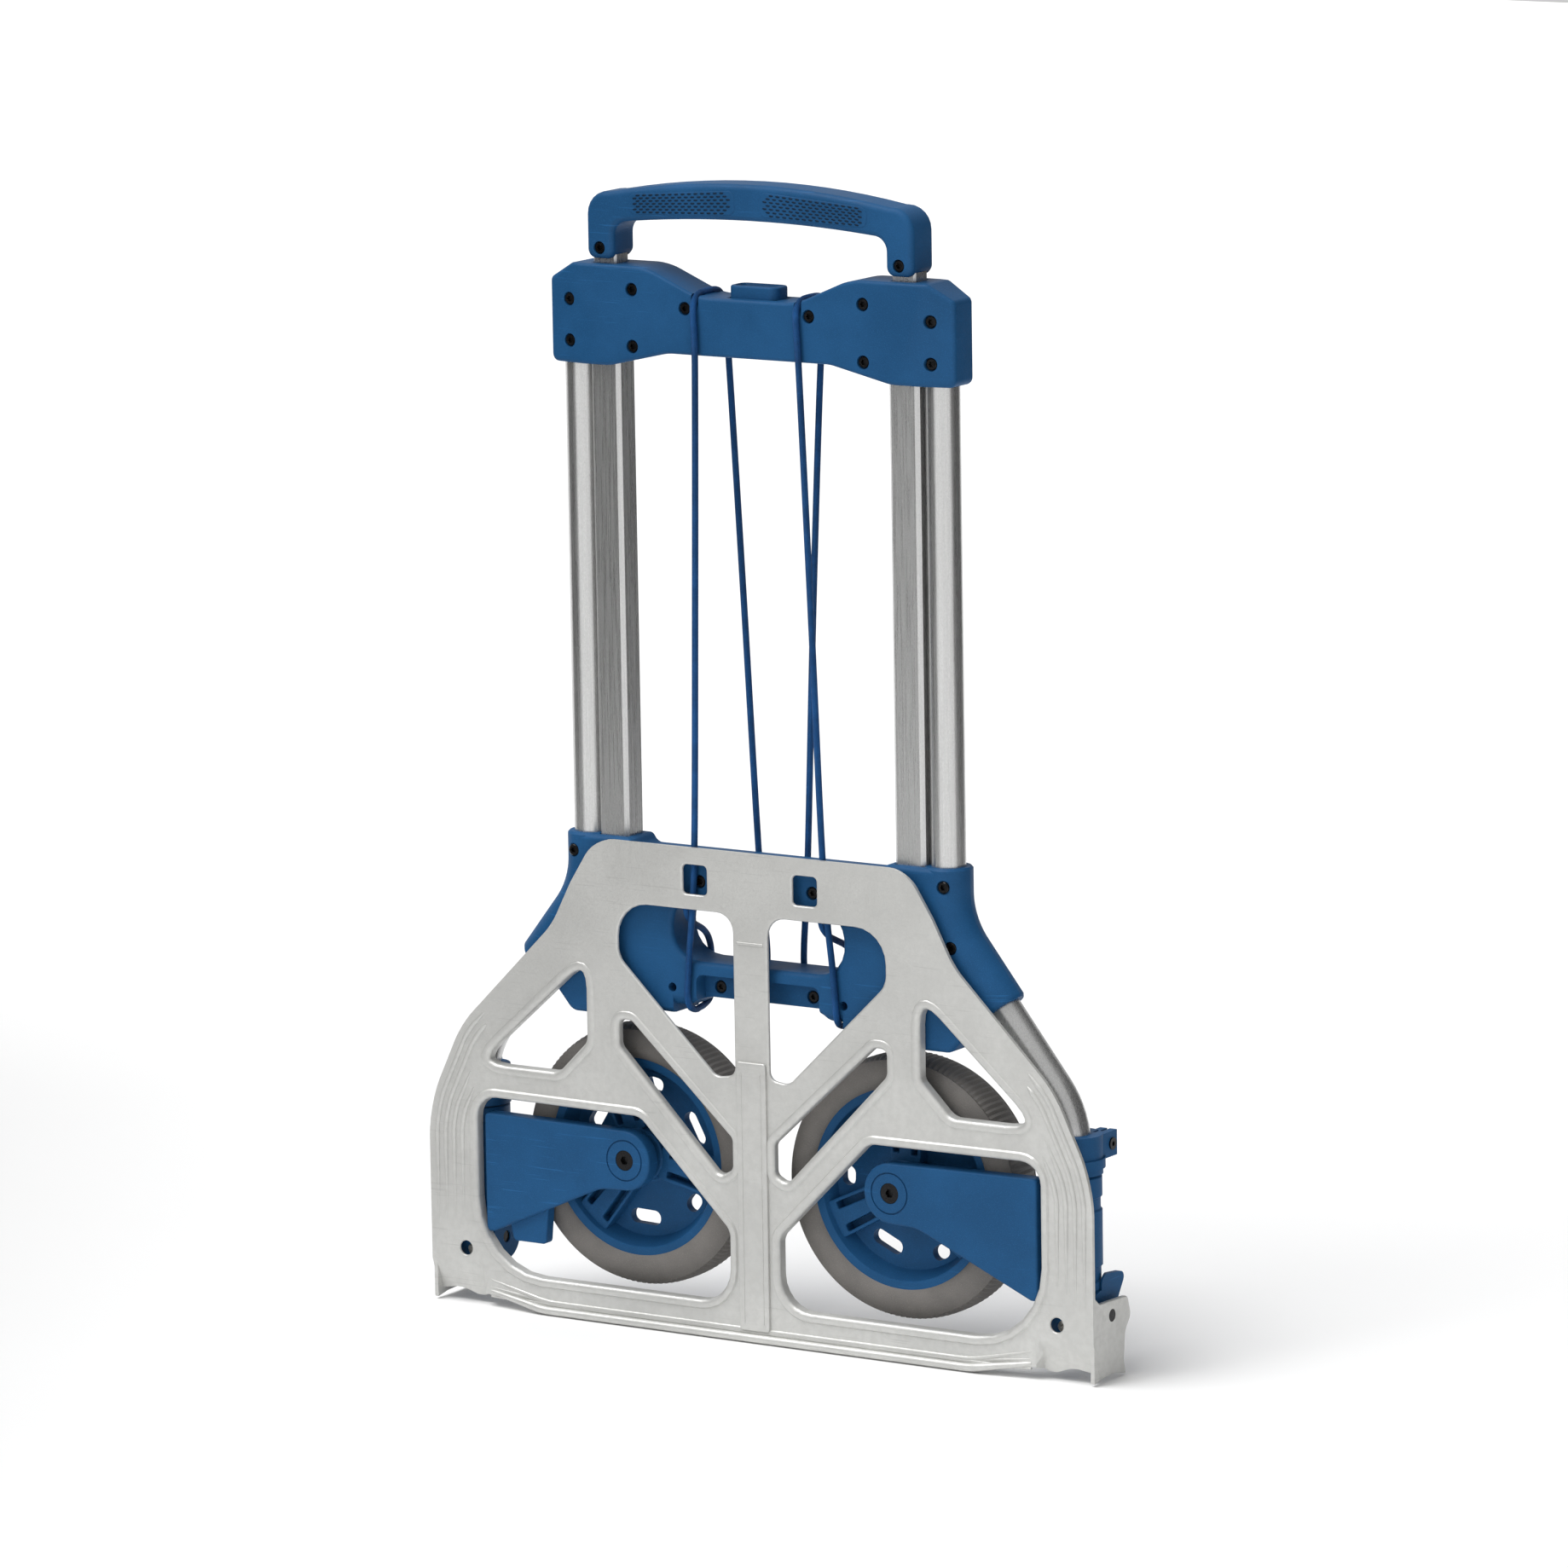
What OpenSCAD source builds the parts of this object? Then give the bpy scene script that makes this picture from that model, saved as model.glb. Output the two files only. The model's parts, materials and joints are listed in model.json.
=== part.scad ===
// Folding two-wheel hand truck, stored folded: the toe plate stands up against the frame, the wheels
// lie flat behind it and the handle is pushed in. X runs to the right, Y to the back, Z up. The tubes
// stand in the plane y = 0, and the floor is z = 0.

/* [Frame tubes] */
// Outside diameter of the bent frame tube
tube_d = 22; // [18:1:25]
// Wall of the frame tube
tube_wall = 1.5; // [1:0.25:2.5]
// Distance of the upper tube's axis from the middle
tube_x = 133.4; // [125:0.2:150]
// Distance of the lower tube's axis from the middle
foot_x = 222; // [205:1:225]
// Angle of the splayed stretch from the vertical
splay = 38; // [32:1:42]
// Radius of both bends on the tube's axis
bend_r = 60; // [45:5:70]
// Height where the upper bend starts
bend_z = 299; // [290:1:310]

/* [Guide and handle tubes] */
// Gap between the frame tube and the guide tube beside it
side_gap = 0.9; // [0.3:0.1:4]
// Width of the guide tube
guide_w = 22; // [20:0.5:22]
// Depth of the guide tube from front to back
guide_depth = 20; // [16:0.5:24]
// Wall of the guide tube
guide_wall = 2; // [1.5:0.25:2.5]
// Chamfer on the guide tube's corners
guide_chamfer = 2.5; // [1:0.5:4]
// Gap between guide tube and handle tube on each side
slide_gap = 0.4; // [0.3:0.05:0.6]
// Wall of the handle tube
inner_wall = 1.5; // [1:0.25:2]
// How far the handle pulls out
handle_travel = 310; // [250:5:320]

/* [Crosshead] */
// Thickness of the crosshead from front to back
head_depth = 31.2; // [30:0.2:40]
// Height of the crosshead's top at the handle
head_top = 681; // [560:1:820]
// Height of the crosshead itself at its ends
head_height = 64; // [60:1:84]
// How far the crosshead's top dips in the middle
saddle_drop = 17; // [13:1:19]
// Radius of the ends round the frame tubes
head_wrap = 16; // [15:0.5:20]
// Distance of the two locking bolts under the crosshead's top
lock_drop = 36; // [33:1:41]
// Travel of the release button
press_travel = 4; // [3:0.5:5]

/* [Handle] */
// Width of the handle's legs
leg_w = 20; // [18:0.5:24]
// Height of the handle over its legs' ends
grip_height = 52; // [44:1:64]
// Depth of the handle from front to back
grip_depth = 26; // [22:1:30]
// Height of the grip's bar
grip_bar = 23; // [20:1:28]
// Gap between the handle's legs and the crosshead when folded
grip_gap = 3; // [1:0.5:6]

/* [Yoke] */
// Thickness of the yoke from front to back
yoke_depth = 31.2; // [30:0.2:40]
// Top of the yoke's shoulders
yoke_top = 317; // [314:1:325]
// Half the width of the oval opening
oval_half = 66; // [50:1:70]
// Lower and upper edge of the oval opening
oval_low = 240; // [236:1:244]
oval_high = 281; // [274:1:284]

/* [Toe plate] */
// Half the width over the plate's ears
plate_half = 248.5; // [246:0.5:260]
// Height of the folded plate
plate_top = 315; // [310:1:320]
// Thickness of the plate's sheet
plate_t = 3; // [2:0.5:3]
// Front face of the folded plate, in front of the tubes
plate_front = 23.6; // [23.6:0.1:26]
// Depth of the stiffening flange round the large cut-outs
flange = 5; // [3:0.5:7]
// Height of the toe plate's hinge
hinge_z = 41; // [39:1:44]
// Diameter of the hinge pins
hinge_pin_d = 8; // [6:0.5:9]

/* [Wheels] */
// Diameter of the wheels over the tyre
wheel_d = 170; // [140:1:175]
// Thickness of the tyre from rim to tread
tyre_t = 20.5; // [15:0.5:26]
// Width of the tyre
tyre_w = 34; // [28:1:36]
// Distance of the wheel centres from the middle, folded
wheel_x = 99.5; // [96:0.5:110]
// Height of the wheel centres
wheel_z = 106.6; // [100:0.2:112]
// Diameter of the axle bolts
axle_d = 10; // [8:0.5:12]
// Front face of the wheel arms, in front of the tubes
arm_front = 21.5; // [20:0.1:22]
// Thickness of the wheel arms
arm_t = 10.5; // [8:0.5:10.5]

/* [Cords] */
// Diameter of the elastic cords
cord_d = 4.2; // [3:0.1:4.4]

/* [Hidden] */

LEFT = -1;
RIGHT = 1;
blue = "#2a4a85";
black = "#1b1c1e";
silver = "#b9bcc0";
bright = "#d4d4d0";
tyre_grey = "#77736f";
fine = 48;

// Cuts run this much past the faces that they open
past = 1;
tube_r = tube_d / 2;
foot_z = 30;
guide_x = tube_x - tube_r - side_gap - guide_w / 2;
guide_in = guide_x - guide_w / 2;
tube_top = head_top - 9;
head_bottom = head_top - head_height;
head_saddle = head_top - saddle_drop;
lock_z = head_top - lock_drop;
shift_per_bend = bend_r * (1 - cos(splay));
straight = (foot_x - tube_x - 2 * shift_per_bend) / sin(splay);
low_bend_z = bend_z - 2 * bend_r * sin(splay) - straight * cos(splay);

guide_bottom = 262;
guide_top = head_top - 5;
inner_w = guide_w - 2 * guide_wall - 2 * slide_gap;
inner_depth = guide_depth - 2 * guide_wall - 2 * slide_gap;
inner_chamfer = max(0.6, guide_chamfer - guide_wall * 0.6);
shoe_h = 14;
inner_bottom = guide_bottom + 4 + shoe_h;
inner_top = head_top + grip_gap + 22;

screw_d = 4;
screw_head_d = 7.6;
screw_head_h = 3;
head_half = tube_x + head_wrap;
lock_pull = 1.5 * press_travel;
bolt_d = 6;
bolt_tip_x = guide_x - inner_w / 2 + inner_wall + 1.1;
cam_slot_x = 20;
cam_low = lock_z - 3;
cam_high = lock_z + press_travel + 4;
cavity_half = guide_in - 29.5;
cavity_depth = 24;
cavity_low = cam_low - 10;
cavity_high = cam_high + 2;
button_half = 18;
button_depth = 18;
button_top = head_saddle + 8;

grip_half = guide_x + leg_w / 2;
grip_top = head_top + grip_gap + grip_height;
handle_screw_z = head_top + grip_gap + 7;
pad_in = 9;
pad_out = grip_half - leg_w - 12.5;
arch_drop = 9;

sleeve_d = 33;
yoke_screw_at = [[tube_x + 4.6, 304], [tube_x + 9.6, 266], [42, 292]];
ledge_screw_x = 34.6;
ledge_screw_z = 223;
ledge_depth = 11;

plate_back = plate_front - plate_t;
ear_t = 3;
wheel_y = 8;
arm_back = arm_front - arm_t;
barrel_d = 34.6;
barrel_low = 50;
barrel_high = floor(low_bend_z - 16);
collar_high = barrel_high + 26;
cap_d = 19;
bearing_d = 26;
bearing_w = 8;
hub_d = 36;
rim_d = wheel_d - 2 * tyre_t;
// Distance of the web's oval holes and of the spokes' slot ends from the wheel's centre
hole_at = rim_d / 2 - 22.5;
slot_end = rim_d / 2 - 16.5;
rim_w = 30;

// Cord routes for the right-hand cord, from the back anchor over the crosshead to the front crimp
cord_r = cord_d / 2;

function unit(v) = v / norm(v);

// One rounded corner b between neighbours a and c, as points on an arc
function corner(a, b, c, steps) =
    b[2] <= 0 ? [[b[0], b[1]]] :
    let (p = [b[0], b[1]],
         u = unit([a[0] - b[0], a[1] - b[1]]),
         v = unit([c[0] - b[0], c[1] - b[1]]),
         half = acos(u * v) / 2,
         centre = p + unit(u + v) * b[2] / sin(half),
         first = p + u * b[2] / tan(half) - centre,
         last = p + v * b[2] / tan(half) - centre,
         start = atan2(first[1], first[0]),
         turn = atan2(first[0] * last[1] - first[1] * last[0], first * last))
    [for (i = [0 : steps])
        centre + b[2] * [cos(start + turn * i / steps), sin(start + turn * i / steps)]];

// A closed outline from corners [x, z, radius]
function rounded(p, steps = 5) =
    [for (i = [0 : len(p) - 1])
        each corner(p[(i + len(p) - 1) % len(p)], p[i], p[(i + 1) % len(p)], steps)];

// Points of a shallow arch from x0 to x1 whose height drops by drop at x = reach
function arch(x0, x1, top, drop, reach, steps = 12) =
    [for (i = [0 : steps]) let (x = x0 + (x1 - x0) * i / steps) [x, top - drop * pow(x / reach, 2)]];

// Moves an outline's corners along its own edge normals, outwards for a clockwise or other outline
function grown(p, by) =
    [for (i = [0 : len(p) - 1])
        let (a = p[(i + len(p) - 1) % len(p)],
             b = p[i],
             c = p[(i + 1) % len(p)],
             n1 = unit([b[1] - a[1], a[0] - b[0]]),
             n2 = unit([c[1] - b[1], b[0] - c[0]]),
             m = unit(n1 + n2),
             s = by / (m * n1))
        [b[0] + m[0] * s, b[1] + m[1] * s, max(b[2] + by, 0.5)]];

// A right-hand outline and its mirror image as one outline, the same left and right
function doubled(right) =
    concat(right, [for (i = [len(right) - 1 : -1 : 0]) [-right[i][0], right[i][1], right[i][2]]]);

// Mirrors a right-hand part to the left
module on(side) {
    if (side == LEFT) {
        mirror([1, 0, 0]) children();
    } else {
        children();
    }
}

module both_sides() {
    children();
    mirror([1, 0, 0]) children();
}

// An outline in X and Z given thickness along Y, from y0 to y1
module slab(y0, y1) {
    translate([0, y1, 0])
    rotate([90, 0, 0])
    linear_extrude(height = y1 - y0) children();
}

// A cylinder along Y from y0 to y1
module rod_y(x, z, y0, y1, r, sides = fine) {
    translate([x, y0, z])
    rotate([-90, 0, 0])
    cylinder(h = y1 - y0, r = r, $fn = sides);
}

// A cylinder along X from x0 to x1
module rod_x(y, z, x0, x1, r, sides = fine) {
    translate([x0, y, z])
    rotate([0, 90, 0])
    cylinder(h = x1 - x0, r = r, $fn = sides);
}

module block(x0, x1, y0, y1, z0, z1) {
    translate([x0, y0, z0]) cube([x1 - x0, y1 - y0, z1 - z0]);
}

// A bend about the origin in the XY plane, with a straight run on each end
module bend_with_runs(r, first, last) {
    rotate([0, 0, -splay / 2]) {
        rotate_extrude(angle = splay, $fn = 96) translate([bend_r, 0]) circle(r = r, $fn = fine);
        translate([bend_r, 0, 0]) rotate([90, 0, 0]) cylinder(h = first, r = r, $fn = fine);
    }
    rotate([0, 0, splay / 2])
    translate([bend_r, 0, 0])
    rotate([-90, 0, 0])
    cylinder(h = last, r = r, $fn = fine);
}

// The solid core of the bent frame tube at any radius, on the right-hand side: two bends whose runs
// overlap halfway along the splayed stretch
module tube_path(r, from_z, to_z) {
    translate([tube_x + bend_r, 0, bend_z])
    rotate([90, 0, 0])
    rotate([0, 0, 180 + splay / 2])
    bend_with_runs(r, to_z - bend_z, straight / 2 + past);
    translate([foot_x - bend_r, 0, low_bend_z])
    rotate([90, 0, 0])
    rotate([0, 0, splay / 2])
    bend_with_runs(r, low_bend_z - from_z, straight / 2);
}

// A rectangular section with chamfered corners
module chamfered(w, d, c) {
    polygon([[-w / 2 + c, -d / 2], [w / 2 - c, -d / 2], [w / 2, -d / 2 + c], [w / 2, d / 2 - c],
        [w / 2 - c, d / 2], [-w / 2 + c, d / 2], [-w / 2, d / 2 - c], [-w / 2, -d / 2 + c]]);
}

module guide_core(from_z, to_z, gap = 0) {
    translate([guide_x, 0, from_z])
    linear_extrude(height = to_z - from_z)
    chamfered(guide_w + 2 * gap, guide_depth + 2 * gap, guide_chamfer);
}

module inner_core(from_z, to_z, gap = 0) {
    translate([guide_x, 0, from_z])
    linear_extrude(height = to_z - from_z)
    chamfered(inner_w + 2 * gap, inner_depth + 2 * gap, inner_chamfer);
}

// A screw with a socket head, its head's face at y = face, driven towards +Y
module screw(x, z, face, shank, head_r = screw_head_d / 2) {
    difference() {
        union() {
            rod_y(x, z, face, face + screw_head_h, head_r);
            rod_y(x, z, face + screw_head_h, face + shank, screw_d / 2);
        }
        rod_y(x, z, face - past, face + 1.8, 1.7, 6);
    }
}

module screw_hole(x, z, face, shank, head_r = screw_head_d / 2) {
    rod_y(x, z, face - past, face + screw_head_h, head_r);
    rod_y(x, z, face + screw_head_h - past, face + shank, screw_d / 2);
}

// ---- frame tubes ----

// The bent path is the same front and back, so the right tube is the left one turned about
module frame_tube(side) {
    color(silver)
    rotate([0, 0, side == RIGHT ? 180 : 0])
    on(LEFT)
    difference() {
        tube_path(tube_r, foot_z, tube_top);
        tube_path(tube_r - tube_wall, foot_z - past, tube_top + past);
        for (z = head_screw_z[2]) {
            rod_y(tube_x, z, -tube_d, tube_d, screw_d / 2 + 0.2);
        }
        for (at = [yoke_screw_at[0], yoke_screw_at[1]]) {
            rod_y(at[0], at[1], -tube_d, tube_d, screw_d / 2 + 0.2);
        }
        rod_x(0, hinge_z, foot_x - tube_d, foot_x + tube_d, hinge_pin_d / 2);
        rod_y(foot_x, foot_screw_z, side == RIGHT ? 0 : -tube_d, side == RIGHT ? tube_d : 0, screw_d / 2);
    }
}

module guide_tube(side) {
    color(silver)
    on(side)
    difference() {
        guide_core(guide_bottom, guide_top);
        translate([guide_x, 0, guide_bottom - past])
        linear_extrude(height = guide_top - guide_bottom + 2 * past)
        chamfered(guide_w - 2 * guide_wall, guide_depth - 2 * guide_wall, inner_chamfer);
        rod_x(0, lock_z, guide_x - guide_w, guide_x, bolt_d / 2 + 0.15);
    }
}

// ---- crosshead ----

// The front view of the crosshead, right half and left half
module head_outline() {
    top = head_top;
    shoulder = guide_in - 23.5;
    rise_r = min(40, shoulder - 36);
    polygon(rounded(doubled([[36, head_saddle, rise_r], [shoulder, top, rise_r], [tube_x - 7.4, top, 6],
        [head_half, top - 14, 6], [head_half, head_bottom, 5], [guide_in + 4.5, head_bottom, 30],
        [guide_in - 39.5, head_bottom + 10, 30]])));
}

// The crosshead's solid: its front view, with ends that wrap round the frame tubes
module head_body() {
    intersection() {
        slab(-head_depth / 2, head_depth / 2) head_outline();
        translate([0, 0, head_bottom - past])
        linear_extrude(height = head_top - head_bottom + 2 * past) head_plan();
    }
}

module head_plan() {
    d = head_depth / 2;
    flat_end = tube_x - 9.4;
    polygon(rounded([[-flat_end, -d, 0], [flat_end, -d, 0], [head_half, -d + 4.5, 7],
        [head_half, d - 4.5, 7], [flat_end, d, 0], [-flat_end, d, 0], [-head_half, d - 4.5, 7],
        [-head_half, -d + 4.5, 7]]));
}

module head_hollow() {
    both_sides() {
        tube_path(tube_r, foot_z, tube_top);
        guide_core(head_bottom - past, guide_top);
        inner_core(guide_top - past, head_top + past, slide_gap);
        rod_x(0, lock_z, cavity_half - past, guide_in + past, bolt_d / 2 + 0.15);
        cord_saddle();
    }
    block(-cavity_half, cavity_half, -cavity_depth / 2, cavity_depth / 2, cavity_low, cavity_high);
    block(-button_half - 0.4, button_half + 0.4, -button_depth / 2 - 0.4, button_depth / 2 + 0.4,
        cavity_high - past, button_top);
    for (i = [0 : 2]) {
        both_sides() head_screw_holes(i);
    }
}

// A rounded seat where a cord passes over the top edge
saddle_x = 38;
saddle_r = 9;
module cord_saddle() {
    w = cord_d / 2 + 0.5;
    for (s = [-1, 1]) {
        difference() {
            block(saddle_x - w, saddle_x + w, s > 0 ? head_depth / 2 - saddle_r : -head_depth / 2 - past,
                s > 0 ? head_depth / 2 + past : -head_depth / 2 + saddle_r,
                head_saddle - saddle_r, head_top);
            rod_x(s * (head_depth / 2 - saddle_r), head_saddle - saddle_r, saddle_x - w - past,
                saddle_x + w + past, saddle_r);
        }
    }
    block(saddle_x - w, saddle_x + w, -head_depth / 2 - past, head_depth / 2 + past, head_saddle, head_top);
}

// The crosshead's screws: beside the saddle, inside the guide tubes and through the frame tubes
head_screw_x = [saddle_x + 7.8, guide_in - 14.1, tube_x];
head_screw_z = [[head_saddle - 7.6], [head_bottom + 13.2, head_top - 14.8],
    [head_bottom + 14.4, head_top - 23.3]];
head_screw_face = [for (sunk = [0.4, 0.4, 1.5]) sunk - head_depth / 2];
head_screw_length = 24;

module head_screw_holes(i) {
    for (z = head_screw_z[i]) {
        screw_hole(head_screw_x[i], z, head_screw_face[i], head_screw_length);
    }
}

module crosshead_shell(front) {
    color(blue)
    difference() {
        intersection() {
            head_body();
            block(-200, 200, front ? -50 : 0, front ? 0 : 50, head_bottom - 5, head_top + 5);
        }
        head_hollow();
    }
}

module crosshead_screws() {
    color(black)
    both_sides()
    for (i = [0 : 2]) {
        for (z = head_screw_z[i]) {
            screw(head_screw_x[i], z, head_screw_face[i], head_screw_length);
        }
    }
}

// ---- release button and locking bolts ----

module release_button() {
    color(blue)
    difference() {
        union() {
            slab(-button_depth / 2, button_depth / 2)
            polygon(rounded([[-button_half, cavity_high + press_travel + 2, 0],
                [button_half, cavity_high + press_travel + 2, 0], [button_half, button_top, 4],
                [-button_half, button_top, 4]]));
            block(-6, 6, -1.5, 1.5, cam_low, cavity_high + press_travel + 3);
            slab(-1.5, 1.5)
            polygon([[-24, cam_low], [24, cam_low], [24, cam_high], [-24, cam_high]]);
        }
        block(-7, 7, -4, 4, button_top - 2, button_top + past);
        both_sides() cam_slot();
    }
}

// The slanted slot that drives one bolt's pin inwards as the button goes down
module cam_slot() {
    lift = press_travel;
    r = 1.8;
    angle = atan2(lift, lock_pull);
    rod_y(cam_slot_x, lock_z, -5, 5, r);
    rod_y(cam_slot_x - lock_pull, lock_z + lift, -5, 5, r);
    translate([cam_slot_x, 0, lock_z])
    rotate([0, angle - 180, 0])
    translate([0, -5, -r])
    cube([norm([lift, lock_pull]), 10, 2 * r]);
}

spring_turns = 4;
spring_r = 3.6;
spring_wire = 0.8;
module button_spring() {
    steps = 10;
    low = cavity_low + spring_wire / 2;
    high = cam_low - spring_wire / 2;
    color(silver)
    tube_along([for (i = [0 : spring_turns * steps])
        [spring_r * cos(360 * i / steps), spring_r * sin(360 * i / steps),
            low + (high - low) * i / (spring_turns * steps)]], spring_wire / 2, 6);
}

module lock_bolt(side) {
    color(silver)
    on(side)
    union() {
        rod_x(0, lock_z, cam_slot_x + 12, bolt_tip_x, bolt_d / 2);
        block(cam_slot_x - 3, cam_slot_x + 13, 1.9, 3, lock_z - 2.8, lock_z + 2.8);
        block(cam_slot_x + 11, cam_slot_x + 13, 0, 3, lock_z - 2, lock_z + 2);
        rod_y(cam_slot_x, lock_z, -1.5, 2, 1.5);
    }
}

// ---- handle ----

module grip_outline() {
    legs = head_top + grip_gap;
    o = grip_half;
    i = grip_half - leg_w;
    mid = grip_top - grip_bar;
    side_top = grip_top - arch_drop * pow(0.86, 2);
    outer = arch(-o + 17, o - 17, grip_top, arch_drop, o - 18.5);
    difference() {
        polygon(concat([[-o, legs]], corner([-o, legs], [-o, side_top - 2, 15], outer[0], 6), outer,
            corner(outer[len(outer) - 1], [o, side_top - 2, 15], [o, legs], 6), [[o, legs]]));
        polygon(rounded([[-i, legs - past, 0], [-i, mid - 5.5, 8], [-i + 40.5, mid - 2, 0], [0, mid, 0],
            [i - 40.5, mid - 2, 0], [i, mid - 5.5, 8], [i, legs - past, 0]]));
    }
}

module handle_grip() {
    color(blue)
    difference() {
        slab(-grip_depth / 2, grip_depth / 2) grip_outline();
        both_sides() {
            inner_core(head_top, inner_top);
            screw_hole(guide_x, handle_screw_z, -grip_depth / 2 + 0.4, 20);
            pad_solid();
        }
    }
}

// The textured pad on the front, top and back of half the grip's bar
module pad_solid() {
    low = grip_top - grip_bar + 4;
    high = grip_top - 4.5;
    slab(-grip_depth / 2 - 0.4, -grip_depth / 2 + 1.6)
    polygon(rounded([[pad_in, low, 4], [pad_out, low - 3.4, 4], [pad_out, high - 6.6, 4], [pad_in, high, 4]]));
}

module grip_pad(side) {
    color(blue) on(side) pad_solid();
}

module handle_screws() {
    color(black) both_sides() screw(guide_x, handle_screw_z, -grip_depth / 2 + 0.4, 20);
}

module handle_tube(side) {
    color(bright)
    on(side)
    difference() {
        inner_core(inner_bottom, inner_top);
        translate([guide_x, 0, inner_bottom - past])
        linear_extrude(height = inner_top - inner_bottom + 2 * past)
        chamfered(inner_w - 2 * inner_wall, inner_depth - 2 * inner_wall, 0.5);
        rod_y(guide_x, handle_screw_z, -grip_depth, grip_depth, screw_d / 2);
        slot_low = lock_z - handle_travel - bolt_d / 2 - 0.3;
        block(guide_x - inner_w, guide_x - inner_w / 2 + inner_wall + 0.2, -bolt_d / 2 - 0.3, bolt_d / 2 + 0.3,
            slot_low, lock_z + bolt_d / 2 + 0.6);
    }
}

// The plastic shoe that keeps the handle tube centred at its lower end
module slide_shoe(side) {
    color(black)
    on(side)
    union() {
        translate([guide_x, 0, inner_bottom - shoe_h])
        linear_extrude(height = shoe_h)
        chamfered(guide_w - 2 * guide_wall - 0.3, guide_depth - 2 * guide_wall - 0.3, inner_chamfer);
        translate([guide_x, 0, inner_bottom])
        linear_extrude(height = 10)
        chamfered(inner_w - 2 * inner_wall, inner_depth - 2 * inner_wall, 0.5);
    }
}

// ---- yoke ----

module yoke_outline() {
    wall = sleeve_d / 2;
    end_at = 0.58;
    ax = tube_x + shift_per_bend + end_at * straight * sin(splay);
    az = bend_z - bend_r * sin(splay) - end_at * straight * cos(splay);
    sx = cos(splay) * wall;
    sz = sin(splay) * wall;
    out_x = tube_x + wall;
    knee = bend_z - bend_r * tan(splay / 2);
    right = [[guide_in - 8, yoke_top - 8, 6],
        [guide_in - 4, yoke_top, 3], [out_x, yoke_top, 4],
        [out_x, knee + wall * tan(splay / 2), bend_r - wall], [ax + sx, az + sz, 4],
        [ax - sx, az - sz, 4], [142, 199, 8], [118, 199, 20], [92, 206, 20], [62, 205, 14],
        [45, 216, 14]];
    difference() {
        polygon(rounded(doubled(right)));
        polygon(rounded([[-oval_half, oval_low, 20], [oval_half, oval_low, 20],
            [oval_half - 4, oval_high, 17], [-oval_half + 4, oval_high, 17]], 8));
    }
}

// The notch under the lower bar that a cord's noose lies in, with rounded edges
notch_z = 210;
notch_r = 8.1;
module noose_notch() {
    difference() {
        block(47.5, 63.5, -yoke_depth, yoke_depth, 190, notch_z + notch_r);
        block(47, 64, -yoke_depth / 2 + notch_r, yoke_depth / 2 - notch_r, notch_z, notch_z + 2 * notch_r);
        for (s = [-1, 1]) {
            rod_x(s * (yoke_depth / 2 - notch_r), notch_z + notch_r, 47, 64, notch_r);
        }
    }
}

module yoke_hollow() {
    both_sides() {
        noose_notch();
        tube_path(tube_r, foot_z, tube_top);
        guide_core(guide_bottom, guide_top);
        for (at = yoke_screw_at) {
            screw_hole(at[0], at[1], -yoke_depth / 2 + 0.4, head_screw_length);
        }
        screw_hole(ledge_screw_x, ledge_screw_z, -yoke_depth / 2 + ledge_depth, yoke_depth - ledge_depth - 4);
        rod_y(64, 222, -yoke_depth, yoke_depth, 3);
    }
    // The ledge in the lower bar's front
    slab(-yoke_depth / 2 - past, -yoke_depth / 2 + ledge_depth)
    polygon(rounded([[-46, 212, 0], [46, 212, 0], [46, 232, 5], [-46, 232, 5]]));
}

module yoke_shell(front) {
    color(blue)
    difference() {
        intersection() {
            slab(-yoke_depth / 2, yoke_depth / 2) yoke_outline();
            block(-250, 250, front ? -50 : 0, front ? 0 : 50, 150, yoke_top + 5);
        }
        yoke_hollow();
    }
}

module yoke_screws() {
    color(black)
    both_sides() {
        for (at = yoke_screw_at) {
            screw(at[0], at[1], -yoke_depth / 2 + 0.4, head_screw_length);
        }
        screw(ledge_screw_x, ledge_screw_z, -yoke_depth / 2 + ledge_depth, yoke_depth - ledge_depth - 4);
    }
}

// ---- elastic cords ----

// A tube of the given radius swept along points, as one closed surface
module tube_along(p, r, sides) {
    n = len(p);
    dirs = [for (i = [0 : n - 1]) unit(p[min(i + 1, n - 1)] - p[max(i - 1, 0)])];
    start = abs(dirs[0] * [1, 0, 0]) < 0.9 ? [1, 0, 0] : [0, 1, 0];
    frames = carried(dirs, unit(start - dirs[0] * (start * dirs[0])), 0);
    rings = [for (i = [0 : n - 1])
        let (u = frames[i], v = cross(dirs[i], u))
        for (k = [0 : sides - 1]) p[i] + r * (cos(360 * k / sides) * u + sin(360 * k / sides) * v)];
    sides_faces = [for (i = [0 : n - 2]) for (k = [0 : sides - 1])
        let (a = i * sides + k, b = i * sides + (k + 1) % sides)
        [a, a + sides, b + sides, b]];
    polyhedron(rings, concat([[for (k = [0 : sides - 1]) k]], sides_faces,
        [[for (k = [sides - 1 : -1 : 0]) (n - 1) * sides + k]]), convexity = 6);
}

// The sideways direction at each point, carried along without twist
function carried(dirs, u, i) = i == len(dirs) ? [] :
    let (w = unit(u - dirs[i] * (u * dirs[i]))) concat([w], carried(dirs, w, i + 1));

// Points on a smooth curve through the route, steps to a span
function smooth(p, steps) =
    let (n = len(p))
    concat([for (i = [0 : n - 2])
        let (a = p[max(i - 1, 0)], b = p[i], c = p[i + 1], d = p[min(i + 2, n - 1)])
        for (k = [0 : steps - 1]) let (t = k / steps)
        0.5 * (2 * b + (c - a) * t + (2 * a - 5 * b + 4 * c - d) * t * t
            + (3 * b - a - 3 * c + d) * t * t * t)], [p[n - 1]]);

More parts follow.
